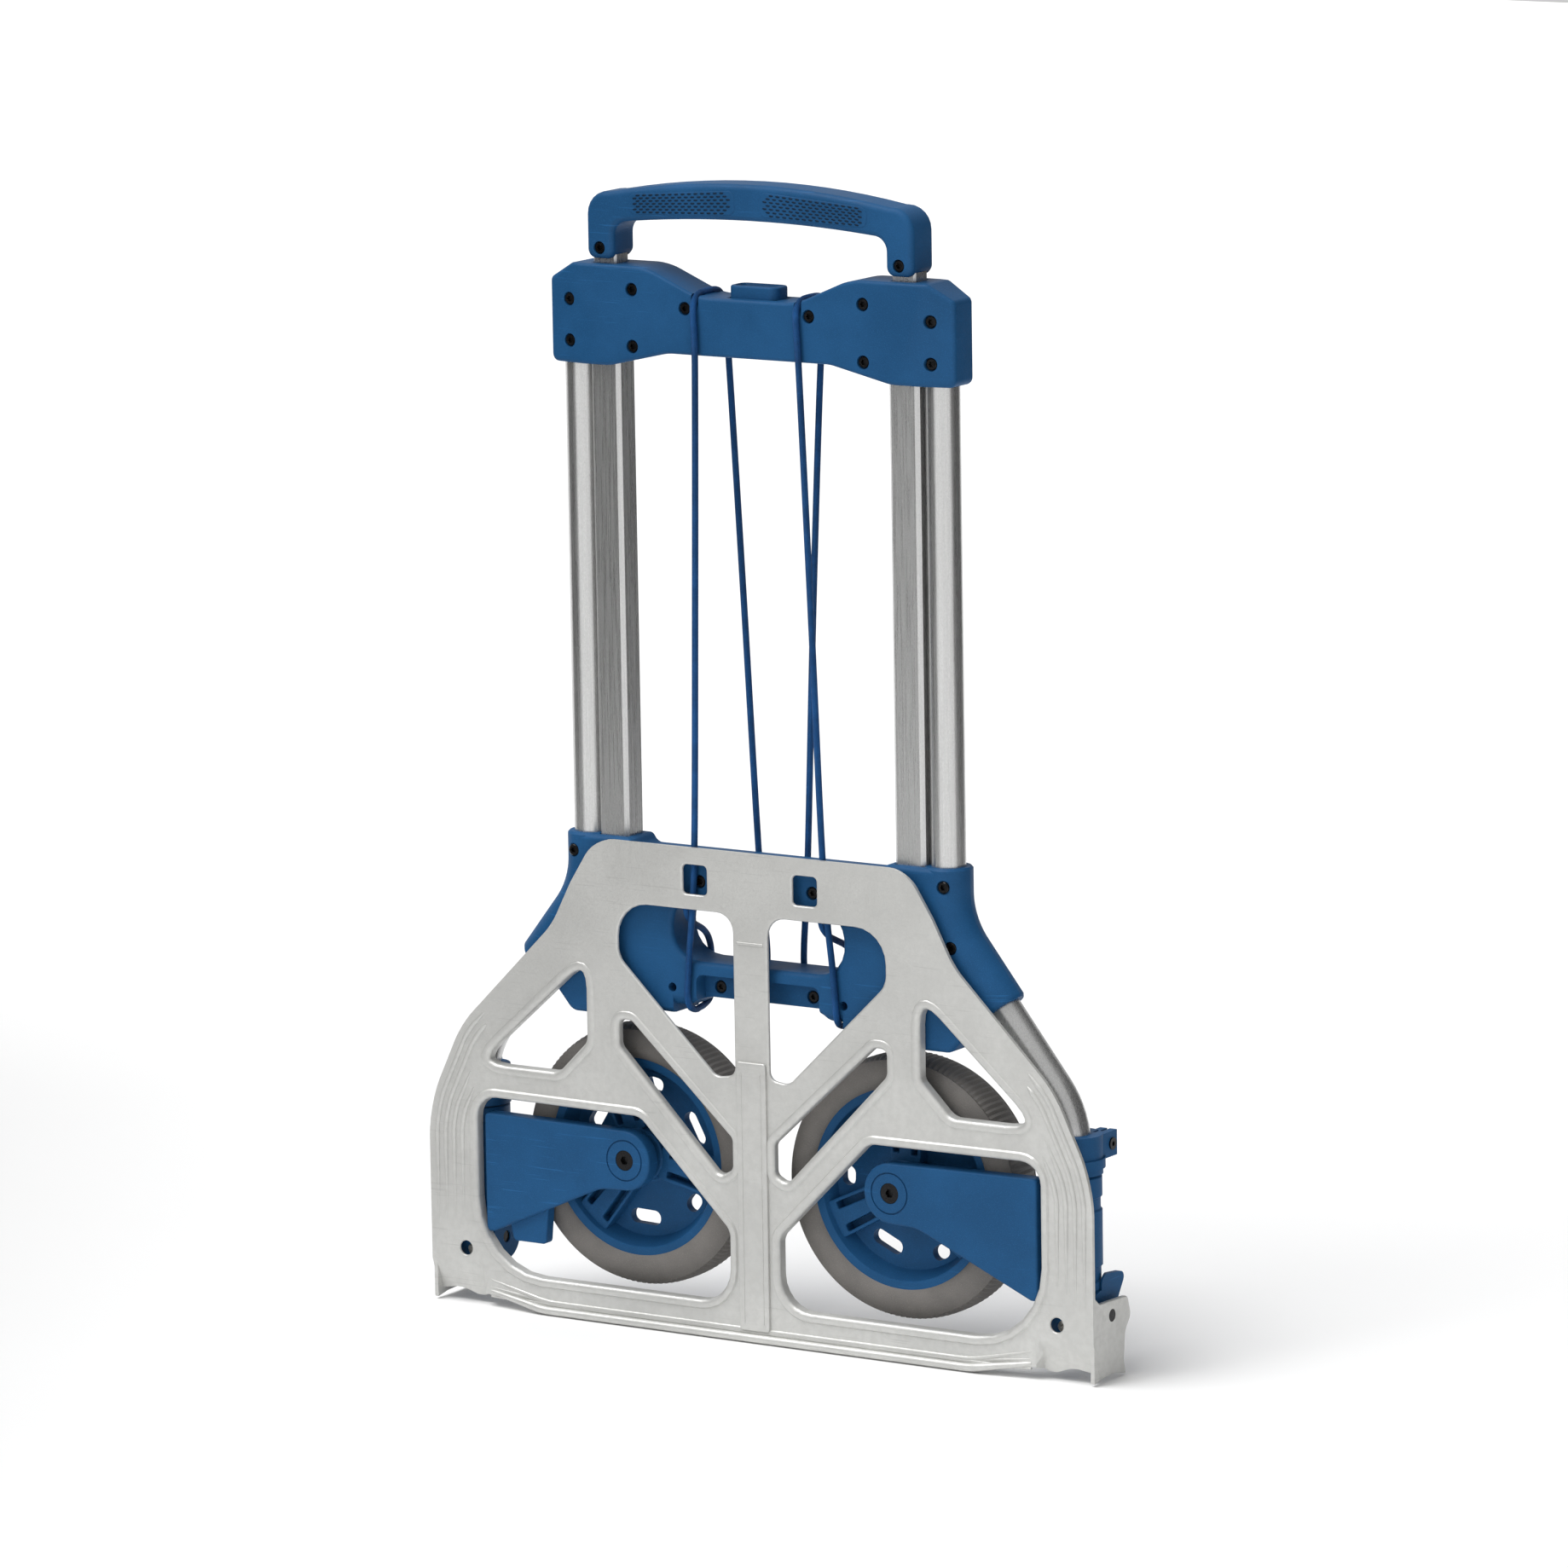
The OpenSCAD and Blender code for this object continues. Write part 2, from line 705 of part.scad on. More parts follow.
// From the anchor behind the lower bar, up the back, over the crosshead, down the front,
// under the lower bar and back through the opening to the crimp
left_route = [[-14, 18.1, 236], [-14, 18.1, 250], [-19, 18.1, 310], [-27, 18.1, 470], [-35, 18.1, 620],
    [-37.6, 18.1, 650], [-38, 17.4, 658.7], [-38, 13.6, 664.2], [-38, 7, 666.4], [-38, -7, 666.4],
    [-38, -13.6, 664.2], [-38, -17.4, 658.7], [-37.6, -18.1, 650], [-37, -18.1, 620], [-40, -18.1, 470],
    [-44, -18.1, 310], [-49, -18.1, 245], [-50.6, -18.1, 226], [-51, -18.1, 218], [-51.3, -15, 210.5],
    [-51.8, -7.5, 207.4], [-53.6, 0, 207.2], [-55.2, 7.5, 207.4], [-55.8, 15, 210.5], [-56, 18.1, 218],
    [-56, 18.1, 236], [-55.8, 16.9, 244.5], [-55, 12.5, 251.5], [-54, 6, 256.6], [-53, -2, 260.5],
    [-52.4, -10, 264.6], [-51.6, -16, 270.6], [-51, -18.1, 277], [-50.8, -18.1, 281]];
right_route = [[14, 18.1, 236], [14, 18.1, 250], [18, 18.1, 310], [25, 18.1, 470], [33, 18.1, 620],
    [37, 18.1, 650], [38, 17.4, 658.7], [38, 13.6, 664.2], [38, 7, 666.4], [38, -7, 666.4],
    [38, -13.6, 664.2], [38, -17.4, 658.7], [38.4, -18.1, 650], [40, -18.1, 620], [46, -18.1, 470],
    [52, -18.1, 310], [58, -18.1, 245], [59.6, -18.1, 226], [60, -18.1, 218], [59.6, -15, 210.5],
    [58.8, -7.5, 207.4], [57, 0, 207.2], [55.4, 7.5, 207.4], [54.6, 15, 210.5], [54.4, 18.1, 218],
    [54, 18.1, 236], [53.4, 16.9, 244.5], [52.6, 12.5, 251.5], [51.8, 6, 256.6], [51, -2, 260.5],
    [50.4, -10, 264.6], [49.8, -16, 270.6], [49.6, -18.1, 277], [49.6, -18.1, 281]];

module cord(route) {
    color("#23539b") tube_along(smooth(route, 2), cord_r, 8);
}

// Metal crimps that close each cord's noose, behind the toe plate's top band
module cord_crimps() {
    color(silver) {
        block(-53.6, -43.8, -20.4, -15.8, 276.5, 284.5);
        block(46.9, 57.7, -20.4, -15.8, 276.5, 284.5);
    }
}

// Small clips on the back of the lower bar that hold the cords' other ends
module cord_anchors() {
    color(black)
    both_sides()
    difference() {
        block(9, 19, yoke_depth / 2, 22, 222, 236);
        rod_y(14, 227, yoke_depth / 2 - past, 23, 1.2);
    }
}

// ---- tube feet and collars ----

foot_screw_z = 34;
foot_r = 15;

// The plastic foot on the tube's end: a socket round the tube, a round nose about the hinge and a
// thin fin behind
module tube_foot(side) {
    color(blue)
    on(side)
    difference() {
        union() {
            rod_x(0, hinge_z, foot_x - 16, foot_x + 19, foot_r);
            translate([foot_x, 0, hinge_z - foot_r + 3])
            cylinder(h = barrel_low - 0.5 - hinge_z + foot_r - 3, r = 15.5, $fn = fine);
            translate([foot_x + 15, 0, 0])
            rotate([90, 0, 90])
            linear_extrude(height = 4)
            polygon(rounded([[0, 28, 0], [10, 29, 0], [18, 45, 6], [30, 63, 4], [0, 66, 6]]));
        }
        tube_path(tube_r, foot_z, tube_top);
        block(foot_x - 30, foot_x + 15, -30, 30, barrel_low - 0.5, barrel_high);
        translate([foot_x, 0, barrel_low - 0.5])
        cylinder(h = 30, r = barrel_d / 2 + 0.5, $fn = fine);
        rod_x(0, hinge_z, foot_x - 30, foot_x + 40, hinge_pin_d / 2);
        screw_hole(foot_x, foot_screw_z, -foot_r - 0.6, 14);
    }
}

module foot_screws() {
    color(silver) both_sides() screw(foot_x, foot_screw_z, -foot_r - 0.6, foot_r - hinge_pin_d / 2 - 1);
}

// The clamp ring above each wheel arm, with its lug at the back
module collar(side) {
    z0 = barrel_high + 1;
    color(blue)
    on(side)
    difference() {
        union() {
            translate([foot_x, 0, z0]) cylinder(h = collar_high - z0, r = 18, $fn = fine);
            translate([foot_x, 0, z0 + 4]) cylinder(h = 6, r = 19.5, $fn = fine);
            block(foot_x + 3, foot_x + 15, 10, 27, z0 + 8, collar_high - 1);
        }
        tube_path(tube_r, foot_z, tube_top);
        block(foot_x + 8, foot_x + 10, 9, 28, z0 - past, collar_high + past);
        rod_x(21, collar_screw_z, foot_x, foot_x + 20, screw_d / 2);
        rod_x(21, collar_screw_z, foot_x + 13, foot_x + 20, screw_head_d / 2);
    }
}

collar_screw_z = barrel_high + 17;

module collar_screws() {
    color(black)
    both_sides()
    difference() {
        union() {
            rod_x(21, collar_screw_z, foot_x + 3, foot_x + 14, screw_d / 2);
            rod_x(21, collar_screw_z, foot_x + 13, foot_x + 16, screw_head_d / 2);
        }
        rod_x(21, collar_screw_z, foot_x + 14.4, foot_x + 17, 1.7, 6);
    }
}

// ---- toe plate ----

// Outline of the plate's right half, clockwise from the top middle
plate_edge = [[116, plate_top, 24], [135, 285, 30], [150, 256, 50], [222, 184, 70],
    [plate_half, 128, 90], [plate_half, 6, 0], [230, 9, 0], [214, 3, 0], [206, 8, 0], [160, 0, 60]];
// The upper window beside the middle rib
upper_cut = [[13, 275, 12], [100, 275, 22], [100, 240, 14], [27, 169, 8], [13, 171, 6]];
// The slanting slot under it
slot_cut = [[16, 130, 4], [91, 199, 4], [100, 199, 4], [100, 182, 6], [25, 105, 5], [16, 110, 4]];
// The triangle beside the wheel
side_cut = [[125, 235, 8], [209, 160, 8], [147, 160, 10], [125, 182, 6]];
// The large opening in front of the wheel and its arm
wheel_cut = [[86, 137, 10], [211, 138, 14], [211, 23, 48], [19, 23, 22], [19, 70, 8]];
window_cut = [[32, 304, 3], [50, 304, 3], [50, 285, 3], [32, 285, 3]];
// The raised shoulders of the middle rib
rib_half = 11;

module cut(outline, y0 = -plate_front - past, y1 = -plate_back + past) {
    slab(y0, y1) polygon(rounded(outline));
}

// A wall round a cut-out, turned back from the sheet
module cut_flange(outline) {
    slab(-plate_back - 0.5, -plate_back + flange - plate_t)
    polygon(rounded(grown(outline, -plate_t * 0.8)));
}

module ear() {
    translate([plate_half - ear_t, 0, 0])
    rotate([90, 0, 90])
    linear_extrude(height = ear_t)
    polygon(rounded([[-plate_front, 0, 0], [-12, 3, 14], [2, 3.6, 14], [16, 0, 0], [14, 10, 10],
        [16, 28, 8], [23, 37, 5], [19, 50, 4], [-15, 51, 3], [-plate_front, 58, 0]]));
}

module toe_plate() {
    color(bright)
    difference() {
        union() {
            slab(-plate_front, -plate_back) polygon(rounded(doubled(plate_edge)));
            both_sides() {
                for (outline = [side_cut, wheel_cut]) {
                    cut_flange(outline);
                }
                ear();
            }
            block(-rib_half, rib_half, -plate_front - 1.5, -plate_front + past, 30, 268);
            slab(-plate_front - 6, -plate_front + past)
            polygon([[-160, 0], [160, 0], [160, 3], [-160, 3]]);
        }
        both_sides() {
            cut(upper_cut);
            cut(slot_cut);
            cut(side_cut, y1 = 0);
            cut(wheel_cut, y1 = 0);
            cut(window_cut);
            rod_y(foot_x, 36.4, -plate_front - past, -plate_back + past, 4.8);
            rod_x(0, hinge_z, plate_half - ear_t - past, plate_half + past, hinge_pin_d / 2 + 0.06);
        }
    }
}

module hinge_pin(side) {
    color(black) on(side) rod_x(0, hinge_z, foot_x - 15, plate_half - 0.4, hinge_pin_d / 2);
}

// ---- wheel arms and wheels ----

module wheel_arm(side) {
    edge = foot_x - 15;
    eye_r = 19;
    color(blue)
    on(side)
    difference() {
        union() {
            slab(-arm_front, -arm_back)
            polygon(rounded([[wheel_x, wheel_z + eye_r, 0], [edge, barrel_high - 1, 2],
                [edge, barrel_low + 9, 3], [edge - 10, barrel_low + 2, 5],
                [wheel_x + 18, wheel_z - eye_r + 2, 40], [wheel_x, wheel_z - eye_r, 0]]));
            rod_y(wheel_x, wheel_z, -arm_front, -arm_back, eye_r);
            rod_y(wheel_x, wheel_z, -arm_back - past, wheel_y - hub_half - axle_gap, 9.5);
            translate([foot_x, 0, barrel_low])
            cylinder(h = barrel_high - barrel_low, r = barrel_d / 2, $fn = fine);
            block(edge - 10, foot_x, -15, -arm_back, barrel_low, barrel_high - 9);
            slab(-arm_front + 3, -arm_back)
            polygon(rounded([[160, 76, 0], [192, 62, 0], [188, 44, 3], [163, 44, 3]]));
        }
        translate([foot_x, 0, barrel_low - past])
        cylinder(h = barrel_high - barrel_low + 2 * past, r = tube_r + 0.08, $fn = fine);
        difference() {
            rod_y(wheel_x, wheel_z, -arm_front - past, -arm_front + 0.8, 13.6);
            rod_y(wheel_x, wheel_z, -arm_front - 2 * past, -arm_front + 2, 12.4);
        }
        rod_y(wheel_x, wheel_z, -arm_front - past, -arm_front + 4, 6.4);
        rod_y(wheel_x, wheel_z, -arm_front, wheel_y, axle_d / 2);
    }
}

axle_end = wheel_y + tyre_w / 2 + 1;
hub_half = 13;
axle_gap = 0.4;

// The shouldered axle bolt with its socket head in the arm's eye
module axle(side) {
    color(black)
    on(side)
    difference() {
        union() {
            rod_y(wheel_x, wheel_z, -arm_front + 0.3, -arm_front + 4, 6.4);
            rod_y(wheel_x, wheel_z, -arm_front + 4, axle_end - 2, axle_d / 2);
        }
        rod_y(wheel_x, wheel_z, -arm_front - past, -arm_front + 2.8, 3, 6);
    }
}

// The retaining cap on the axle's other end
module axle_cap(side) {
    color(black)
    on(side)
    difference() {
        rod_y(wheel_x, wheel_z, wheel_y + hub_half + axle_gap, axle_end, cap_d / 2);
        rod_y(wheel_x, wheel_z, wheel_y + hub_half, axle_end - 2, axle_d / 2);
    }
}

// Places a part turned about Z on the right-hand wheel's centre, with its axis along Y
module at_wheel(turn = 0) {
    translate([wheel_x, wheel_y, wheel_z])
    rotate([90, 0, 0])
    rotate([0, 0, turn])
    children();
}

function spoke_turn(side) = side == LEFT ? 70 : 87;

module rim_part(side) {
    color(blue)
    on(side)
    at_wheel(spoke_turn(side))
    difference() {
        union() {
            rotate_extrude($fn = 96)
            polygon([[bearing_d / 2, -hub_half], [hub_d / 2, -hub_half], [hub_d / 2, -3], [rim_d / 2 - 9, -3],
                [rim_d / 2 - 5, -rim_w / 2], [rim_d / 2, -rim_w / 2], [rim_d / 2, rim_w / 2],
                [rim_d / 2 - 5, rim_w / 2], [rim_d / 2 - 9, 3], [hub_d / 2, 3], [hub_d / 2, hub_half],
                [bearing_d / 2, hub_half]]);
            for (k = [0 : 2]) {
                rotate([0, 0, 120 * k])
                spoke();
            }
        }
        translate([0, 0, -20]) cylinder(h = 40, r = bearing_d / 2, $fn = fine);
        for (k = [0 : 2]) {
            rotate([0, 0, 120 * k + 60 - side * 22]) rim_hole(hole_at, 10);
            rotate([0, 0, 120 * k + 60 + side * 31]) rim_hole(hole_at + 4, 3);
        }
    }
}

// A broad spoke with two deep slots along it
module spoke() {
    difference() {
        translate([hub_d / 2 - 2, -11, -12]) cube([rim_d / 2 - hub_d / 2 - 4.5, 22, 24]);
        for (s = [-1, 1]) {
            translate([24, s * 6.5 - 1.6, 3]) cube([slot_end - 24, 3.2, 10]);
        }
        rotate_extrude($fn = 96)
        polygon([[rim_d / 2 - 7, -20], [rim_d, -20], [rim_d, 20], [rim_d / 2 - 7, 20]]);
    }
}

// An oval hole through the dished web, its ends that far either way round the wheel
module rim_hole(from_centre, reach) {
    r = 4.6;
    for (a = [-reach, reach]) {
        rotate([0, 0, a]) translate([from_centre, 0, -20]) cylinder(h = 40, r = r, $fn = fine);
    }
    rotate([0, 0, -reach])
    translate([0, 0, -20])
    rotate_extrude(angle = 2 * reach, $fn = 96)
    translate([from_centre - r, 0])
    square([2 * r, 40]);
}

module tyre(side) {
    r = wheel_d / 2;
    h = tyre_w / 2;
    color(tyre_grey)
    on(side)
    at_wheel()
    rotate_extrude($fn = 120)
    polygon(rounded([[rim_d / 2, -rim_w / 2, 0], [rim_d / 2 + 5, -h, 4], [r - 3, -h + 2, 6], [r, -h + 8, 9],
        [r, h - 8, 9], [r - 3, h - 2, 6], [rim_d / 2 + 5, h, 4], [rim_d / 2, rim_w / 2, 0]], 4));
}

module bearings(side) {
    color(silver)
    on(side)
    at_wheel()
    for (z = [-hub_half, hub_half - bearing_w]) {
        translate([0, 0, z])
        difference() {
            cylinder(h = bearing_w, r = bearing_d / 2, $fn = fine);
            translate([0, 0, -past]) cylinder(h = bearing_w + 2 * past, r = axle_d / 2 + 0.05, $fn = fine);
        }
    }
}

frame_tube(LEFT);  // left_frame_tube
frame_tube(RIGHT);  // right_frame_tube
guide_tube(LEFT);  // left_guide_tube
guide_tube(RIGHT);  // right_guide_tube
crosshead_shell(true);  // crosshead_front
crosshead_shell(false);  // crosshead_back
crosshead_screws();
release_button();
button_spring();
lock_bolt(LEFT);  // left_lock_bolt
lock_bolt(RIGHT);  // right_lock_bolt
handle_grip();
grip_pad(LEFT);  // left_grip_pad
grip_pad(RIGHT);  // right_grip_pad
handle_screws();
handle_tube(LEFT);  // left_handle_tube
handle_tube(RIGHT);  // right_handle_tube
slide_shoe(LEFT);  // left_slide_shoe
slide_shoe(RIGHT);  // right_slide_shoe
yoke_shell(true);  // yoke_front
yoke_shell(false);  // yoke_back
yoke_screws();
cord(left_route);  // left_cord
cord(right_route);  // right_cord
cord_crimps();
cord_anchors();
tube_foot(LEFT);  // left_tube_foot
tube_foot(RIGHT);  // right_tube_foot
foot_screws();
collar(LEFT);  // left_collar
collar(RIGHT);  // right_collar
collar_screws();
toe_plate();
hinge_pin(LEFT);  // left_hinge_pin
hinge_pin(RIGHT);  // right_hinge_pin
wheel_arm(LEFT);  // left_wheel_arm
wheel_arm(RIGHT);  // right_wheel_arm
axle(LEFT);  // left_axle
axle(RIGHT);  // right_axle
axle_cap(LEFT);  // left_axle_cap
axle_cap(RIGHT);  // right_axle_cap
rim_part(LEFT);  // left_rim
rim_part(RIGHT);  // right_rim
tyre(LEFT);  // left_tyre
tyre(RIGHT);  // right_tyre
bearings(LEFT);  // left_bearings
bearings(RIGHT);  // right_bearings
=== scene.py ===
"""Looks of a folding hand truck, stored folded, built round its CAD frame.

Lengths inside the modelling functions are millimetres, and each finished piece is in metres.
Front faces -Y, the wheels fold in behind the toe plate, and Z = 0 is the floor.
"""

import json
import math

import bmesh
import bpy
from mathutils import Matrix, Vector


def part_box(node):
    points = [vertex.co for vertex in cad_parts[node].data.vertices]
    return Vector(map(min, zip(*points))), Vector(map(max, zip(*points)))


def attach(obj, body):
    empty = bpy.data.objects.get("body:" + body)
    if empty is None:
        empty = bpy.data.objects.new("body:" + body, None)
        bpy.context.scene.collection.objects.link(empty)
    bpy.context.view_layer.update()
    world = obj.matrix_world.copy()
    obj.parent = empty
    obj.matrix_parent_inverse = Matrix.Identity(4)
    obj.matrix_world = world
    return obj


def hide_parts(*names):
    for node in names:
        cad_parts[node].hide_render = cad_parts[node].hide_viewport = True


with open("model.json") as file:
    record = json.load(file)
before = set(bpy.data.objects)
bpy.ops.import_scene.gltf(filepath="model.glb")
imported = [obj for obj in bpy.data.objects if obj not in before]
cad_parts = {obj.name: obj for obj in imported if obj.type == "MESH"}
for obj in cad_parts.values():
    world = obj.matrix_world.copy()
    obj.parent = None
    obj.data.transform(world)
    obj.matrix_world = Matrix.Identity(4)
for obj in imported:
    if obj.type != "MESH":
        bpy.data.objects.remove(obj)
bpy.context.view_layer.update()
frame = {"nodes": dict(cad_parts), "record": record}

bl_info = {
    "name": "Folding hand truck",
    "version": (1, 0, 0),
    "blender": (4, 5, 0),
    "location": "3D View > Sidebar > Truck",
    "description": "Models the plastic, stamped and woven pieces of a folding hand truck",
    "category": "Object",
}

FRONT = Vector((0, -1, 0))
SIDES = (("left", -1), ("right", 1))
# Places in millimetres: the frame tubes' tops, the guide tubes, the frame tubes' feet and the wheel's middle
TUBE_X = 133.4
GUIDE_X = 110.5
FOOT_X = 222
WHEEL = Vector((99.5, 8, 106.6))


# ---- what a user may change ----

class TruckColours(bpy.types.PropertyGroup):
    """Base colours of the truck's finishes"""
    plastic: bpy.props.FloatVectorProperty(
        name="Plastic", description="Moulded plastic", subtype="COLOR", size=3,
        default=(0.0135, 0.078, 0.195), min=0, max=1)
    cord: bpy.props.FloatVectorProperty(
        name="Cord", description="Woven cover of the elastic cords", subtype="COLOR", size=3,
        default=(0.010, 0.082, 0.255), min=0, max=1)
    plate: bpy.props.FloatVectorProperty(
        name="Toe plate", description="Stamped aluminium", subtype="COLOR", size=3,
        default=(0.60, 0.60, 0.58), min=0, max=1)
    tube: bpy.props.FloatVectorProperty(
        name="Tubes", description="Anodised aluminium", subtype="COLOR", size=3,
        default=(0.60, 0.60, 0.595), min=0, max=1)
    tyre: bpy.props.FloatVectorProperty(
        name="Tyres", description="Grey rubber", subtype="COLOR", size=3,
        default=(0.165, 0.155, 0.145), min=0, max=1)
    black: bpy.props.FloatVectorProperty(
        name="Black parts", description="Blackened screws and axles", subtype="COLOR", size=3,
        default=(0.012, 0.012, 0.013), min=0, max=1)


class TruckSizes(bpy.types.PropertyGroup):
    """Sizes of detail that the CAD frame leaves out"""
    plate_roll: bpy.props.FloatProperty(
        name="Window roll", description="Radius that the plate's window edges turn back with",
        default=0.003, min=0.001, max=0.004, subtype="DISTANCE", unit="LENGTH")
    flute_rise: bpy.props.FloatProperty(
        name="Flute height", description="How far the plate's flutes stand out",
        default=0.0013, min=0.0004, max=0.002, subtype="DISTANCE", unit="LENGTH")
    shell_round: bpy.props.FloatProperty(
        name="Shell rounding", description="Radius of the crosshead's edges",
        default=0.0024, min=0.001, max=0.004, subtype="DISTANCE", unit="LENGTH")
    grip_round: bpy.props.FloatProperty(
        name="Grip rounding", description="Radius of the grip's edges",
        default=0.0038, min=0.002, max=0.007, subtype="DISTANCE", unit="LENGTH")
    tread_teeth: bpy.props.IntProperty(
        name="Tread teeth", description="Fine teeth round each tyre", default=132, min=60, max=180)
    pad_columns: bpy.props.IntProperty(
        name="Pad ridges", description="Columns of ridges on each grip pad", default=15, min=8, max=30)


class TruckStage(bpy.types.PropertyGroup):
    """Camera and light"""
    azimuth: bpy.props.FloatProperty(
        name="Azimuth", description="Camera's turn to the truck's right",
        default=math.radians(32.61), subtype="ANGLE", unit="ROTATION")
    elevation: bpy.props.FloatProperty(
        name="Elevation", description="Camera's height above the horizon",
        default=math.radians(10.25), subtype="ANGLE", unit="ROTATION")
    roll: bpy.props.FloatProperty(
        name="Roll", description="Camera's tilt about its own line of sight",
        default=math.radians(-0.93), subtype="ANGLE", unit="ROTATION")
    distance: bpy.props.FloatProperty(
        name="Distance", description="Camera's distance from the point it looks at",
        default=5.838, min=1, subtype="DISTANCE", unit="LENGTH")
    target: bpy.props.FloatVectorProperty(
        name="Target", description="Point that the camera looks at", size=3,
        default=(0.0125, 0, 0.3568), subtype="XYZ", unit="LENGTH")
    lens: bpy.props.FloatProperty(
        name="Lens", description="Focal length in millimetres", default=213.16, min=20)
    key: bpy.props.FloatProperty(
        name="Key light", description="Power of the soft light at the front left",
        default=16, min=0, subtype="POWER", unit="POWER")
    overhead: bpy.props.FloatProperty(
        name="Overhead light", description="Strength of the wide light from above", default=2.3, min=0)
    sky: bpy.props.FloatProperty(
        name="Sky", description="Strength of the even light all round", default=0.6, min=0)


# ---- shader groups and finishes ----

def node(tree, kind, settings=None, **inputs):
    """A new shader node. Underscores in input names stand for spaces, and a socket as value is linked."""
    made = tree.nodes.new(kind)
    for key, value in (settings or {}).items():
        setattr(made, key, value)
    for key, value in inputs.items():
        socket = made.inputs[int(key[1:])] if key[0] == "n" and key[1:].isdigit() \
            else made.inputs[key.replace("_", " ")]
        if isinstance(value, bpy.types.NodeSocket):
            tree.links.new(value, socket)
        else:
            socket.default_value = value
    return made


def group_tree(name, inputs, outputs):
    """A shader node group with sockets (name, kind, default), and its input and output nodes."""
    tree = bpy.data.node_groups.new(name, "ShaderNodeTree")
    for label, kind, default in inputs:
        socket = tree.interface.new_socket(name=label, in_out="INPUT", socket_type=kind)
        if default is not None:
            socket.default_value = default
    for label in outputs:
        tree.interface.new_socket(name=label, in_out="OUTPUT", socket_type="NodeSocketFloat")
    return tree, tree.nodes.new("NodeGroupInput"), tree.nodes.new("NodeGroupOutput")


def math_node(tree, operation, a, b):
    """The result of a sum on two values or sockets."""
    return node(tree, "ShaderNodeMath", {"operation": operation}, n0=a, n1=b).outputs[0]


def remapped(tree, value, from_low, from_high, to_low=0.0, to_high=1.0):
    """The value moved smoothly from one range to another."""
    return node(tree, "ShaderNodeMapRange", {"interpolation_type": "SMOOTHSTEP"}, Value=value,
                From_Min=from_low, From_Max=from_high, To_Min=to_low, To_Max=to_high).outputs["Result"]


def build_cloud():
    """Slow uneven patches, from 0 to 1."""
    tree, given, out = group_tree("Cloud",
                                  [("Vector", "NodeSocketVector", None), ("Scale", "NodeSocketFloat", 6.0)],
                                  ["Patches"])
    noise = node(tree, "ShaderNodeTexNoise", Vector=given.outputs["Vector"], Scale=given.outputs["Scale"],
                 Detail=5.0, Roughness=0.6)
    tree.links.new(remapped(tree, noise.outputs["Fac"], 0.32, 0.68), out.inputs["Patches"])
    return tree


def build_moulded_grain():
    """The fine pebbled skin of moulded plastic or rubber."""
    tree, given, out = group_tree("Moulded grain",
                                  [("Vector", "NodeSocketVector", None), ("Scale", "NodeSocketFloat", 900.0)],
                                  ["Height", "Pits"])
    cells = node(tree, "ShaderNodeTexVoronoi", {"feature": "SMOOTH_F1"}, Vector=given.outputs["Vector"],
                 Scale=given.outputs["Scale"], Smoothness=0.6)
    speck = node(tree, "ShaderNodeTexNoise", Vector=given.outputs["Vector"],
                 Scale=math_node(tree, "MULTIPLY", given.outputs["Scale"], 2.2), Detail=2.0)
    height = math_node(tree, "ADD", cells.outputs["Distance"],
                       math_node(tree, "MULTIPLY", speck.outputs["Fac"], 0.5))
    tree.links.new(height, out.inputs["Height"])
    tree.links.new(remapped(tree, speck.outputs["Fac"], 0.55, 0.72), out.inputs["Pits"])
    return tree


def build_scratches():
    """Thin handling marks in two slanting directions."""
    tree, given, out = group_tree("Scratches",
                                  [("Vector", "NodeSocketVector", None), ("Scale", "NodeSocketFloat", 30.0),
                                   ("Cover", "NodeSocketFloat", 0.5)],
                                  ["Marks"])
    marks = None
    for turn, stretch in ((0.5, 26.0), (-1.1, 34.0)):
        turned = node(tree, "ShaderNodeMapping", Vector=given.outputs["Vector"], Rotation=(0.0, turn, 0.0),
                      Scale=(1.0, 1.0, stretch))
        lines = node(tree, "ShaderNodeTexNoise", Vector=turned.outputs["Vector"],
                     Scale=given.outputs["Scale"], Detail=1.0, Distortion=0.15)
        thin = remapped(tree, lines.outputs["Fac"], 0.69, 0.76)
        marks = thin if marks is None else math_node(tree, "MAXIMUM", marks, thin)
    broken = node(tree, "ShaderNodeTexNoise", Vector=given.outputs["Vector"], Scale=11.0, Detail=2.0)
    patch = remapped(tree, broken.outputs["Fac"], 0.45, 0.6)
    kept = math_node(tree, "MULTIPLY", math_node(tree, "MULTIPLY", marks, patch), given.outputs["Cover"])
    tree.links.new(kept, out.inputs["Marks"])
    return tree


def build_drawn_lines():
    """The fine lines that drawing through a die leaves along a tube, along Z."""
    tree, given, out = group_tree("Drawn lines",
                                  [("Vector", "NodeSocketVector", None), ("Scale", "NodeSocketFloat", 700.0)],
                                  ["Lines", "Specks"])
    along = node(tree, "ShaderNodeMapping", Vector=given.outputs["Vector"], Scale=(1.0, 1.0, 0.02))
    lines = node(tree, "ShaderNodeTexNoise", Vector=along.outputs["Vector"], Scale=given.outputs["Scale"],
                 Detail=3.0)
    specks = node(tree, "ShaderNodeTexNoise", Vector=given.outputs["Vector"], Scale=given.outputs["Scale"],
                  Detail=2.0)
    tree.links.new(lines.outputs["Fac"], out.inputs["Lines"])
    tree.links.new(specks.outputs["Fac"], out.inputs["Specks"])
    return tree


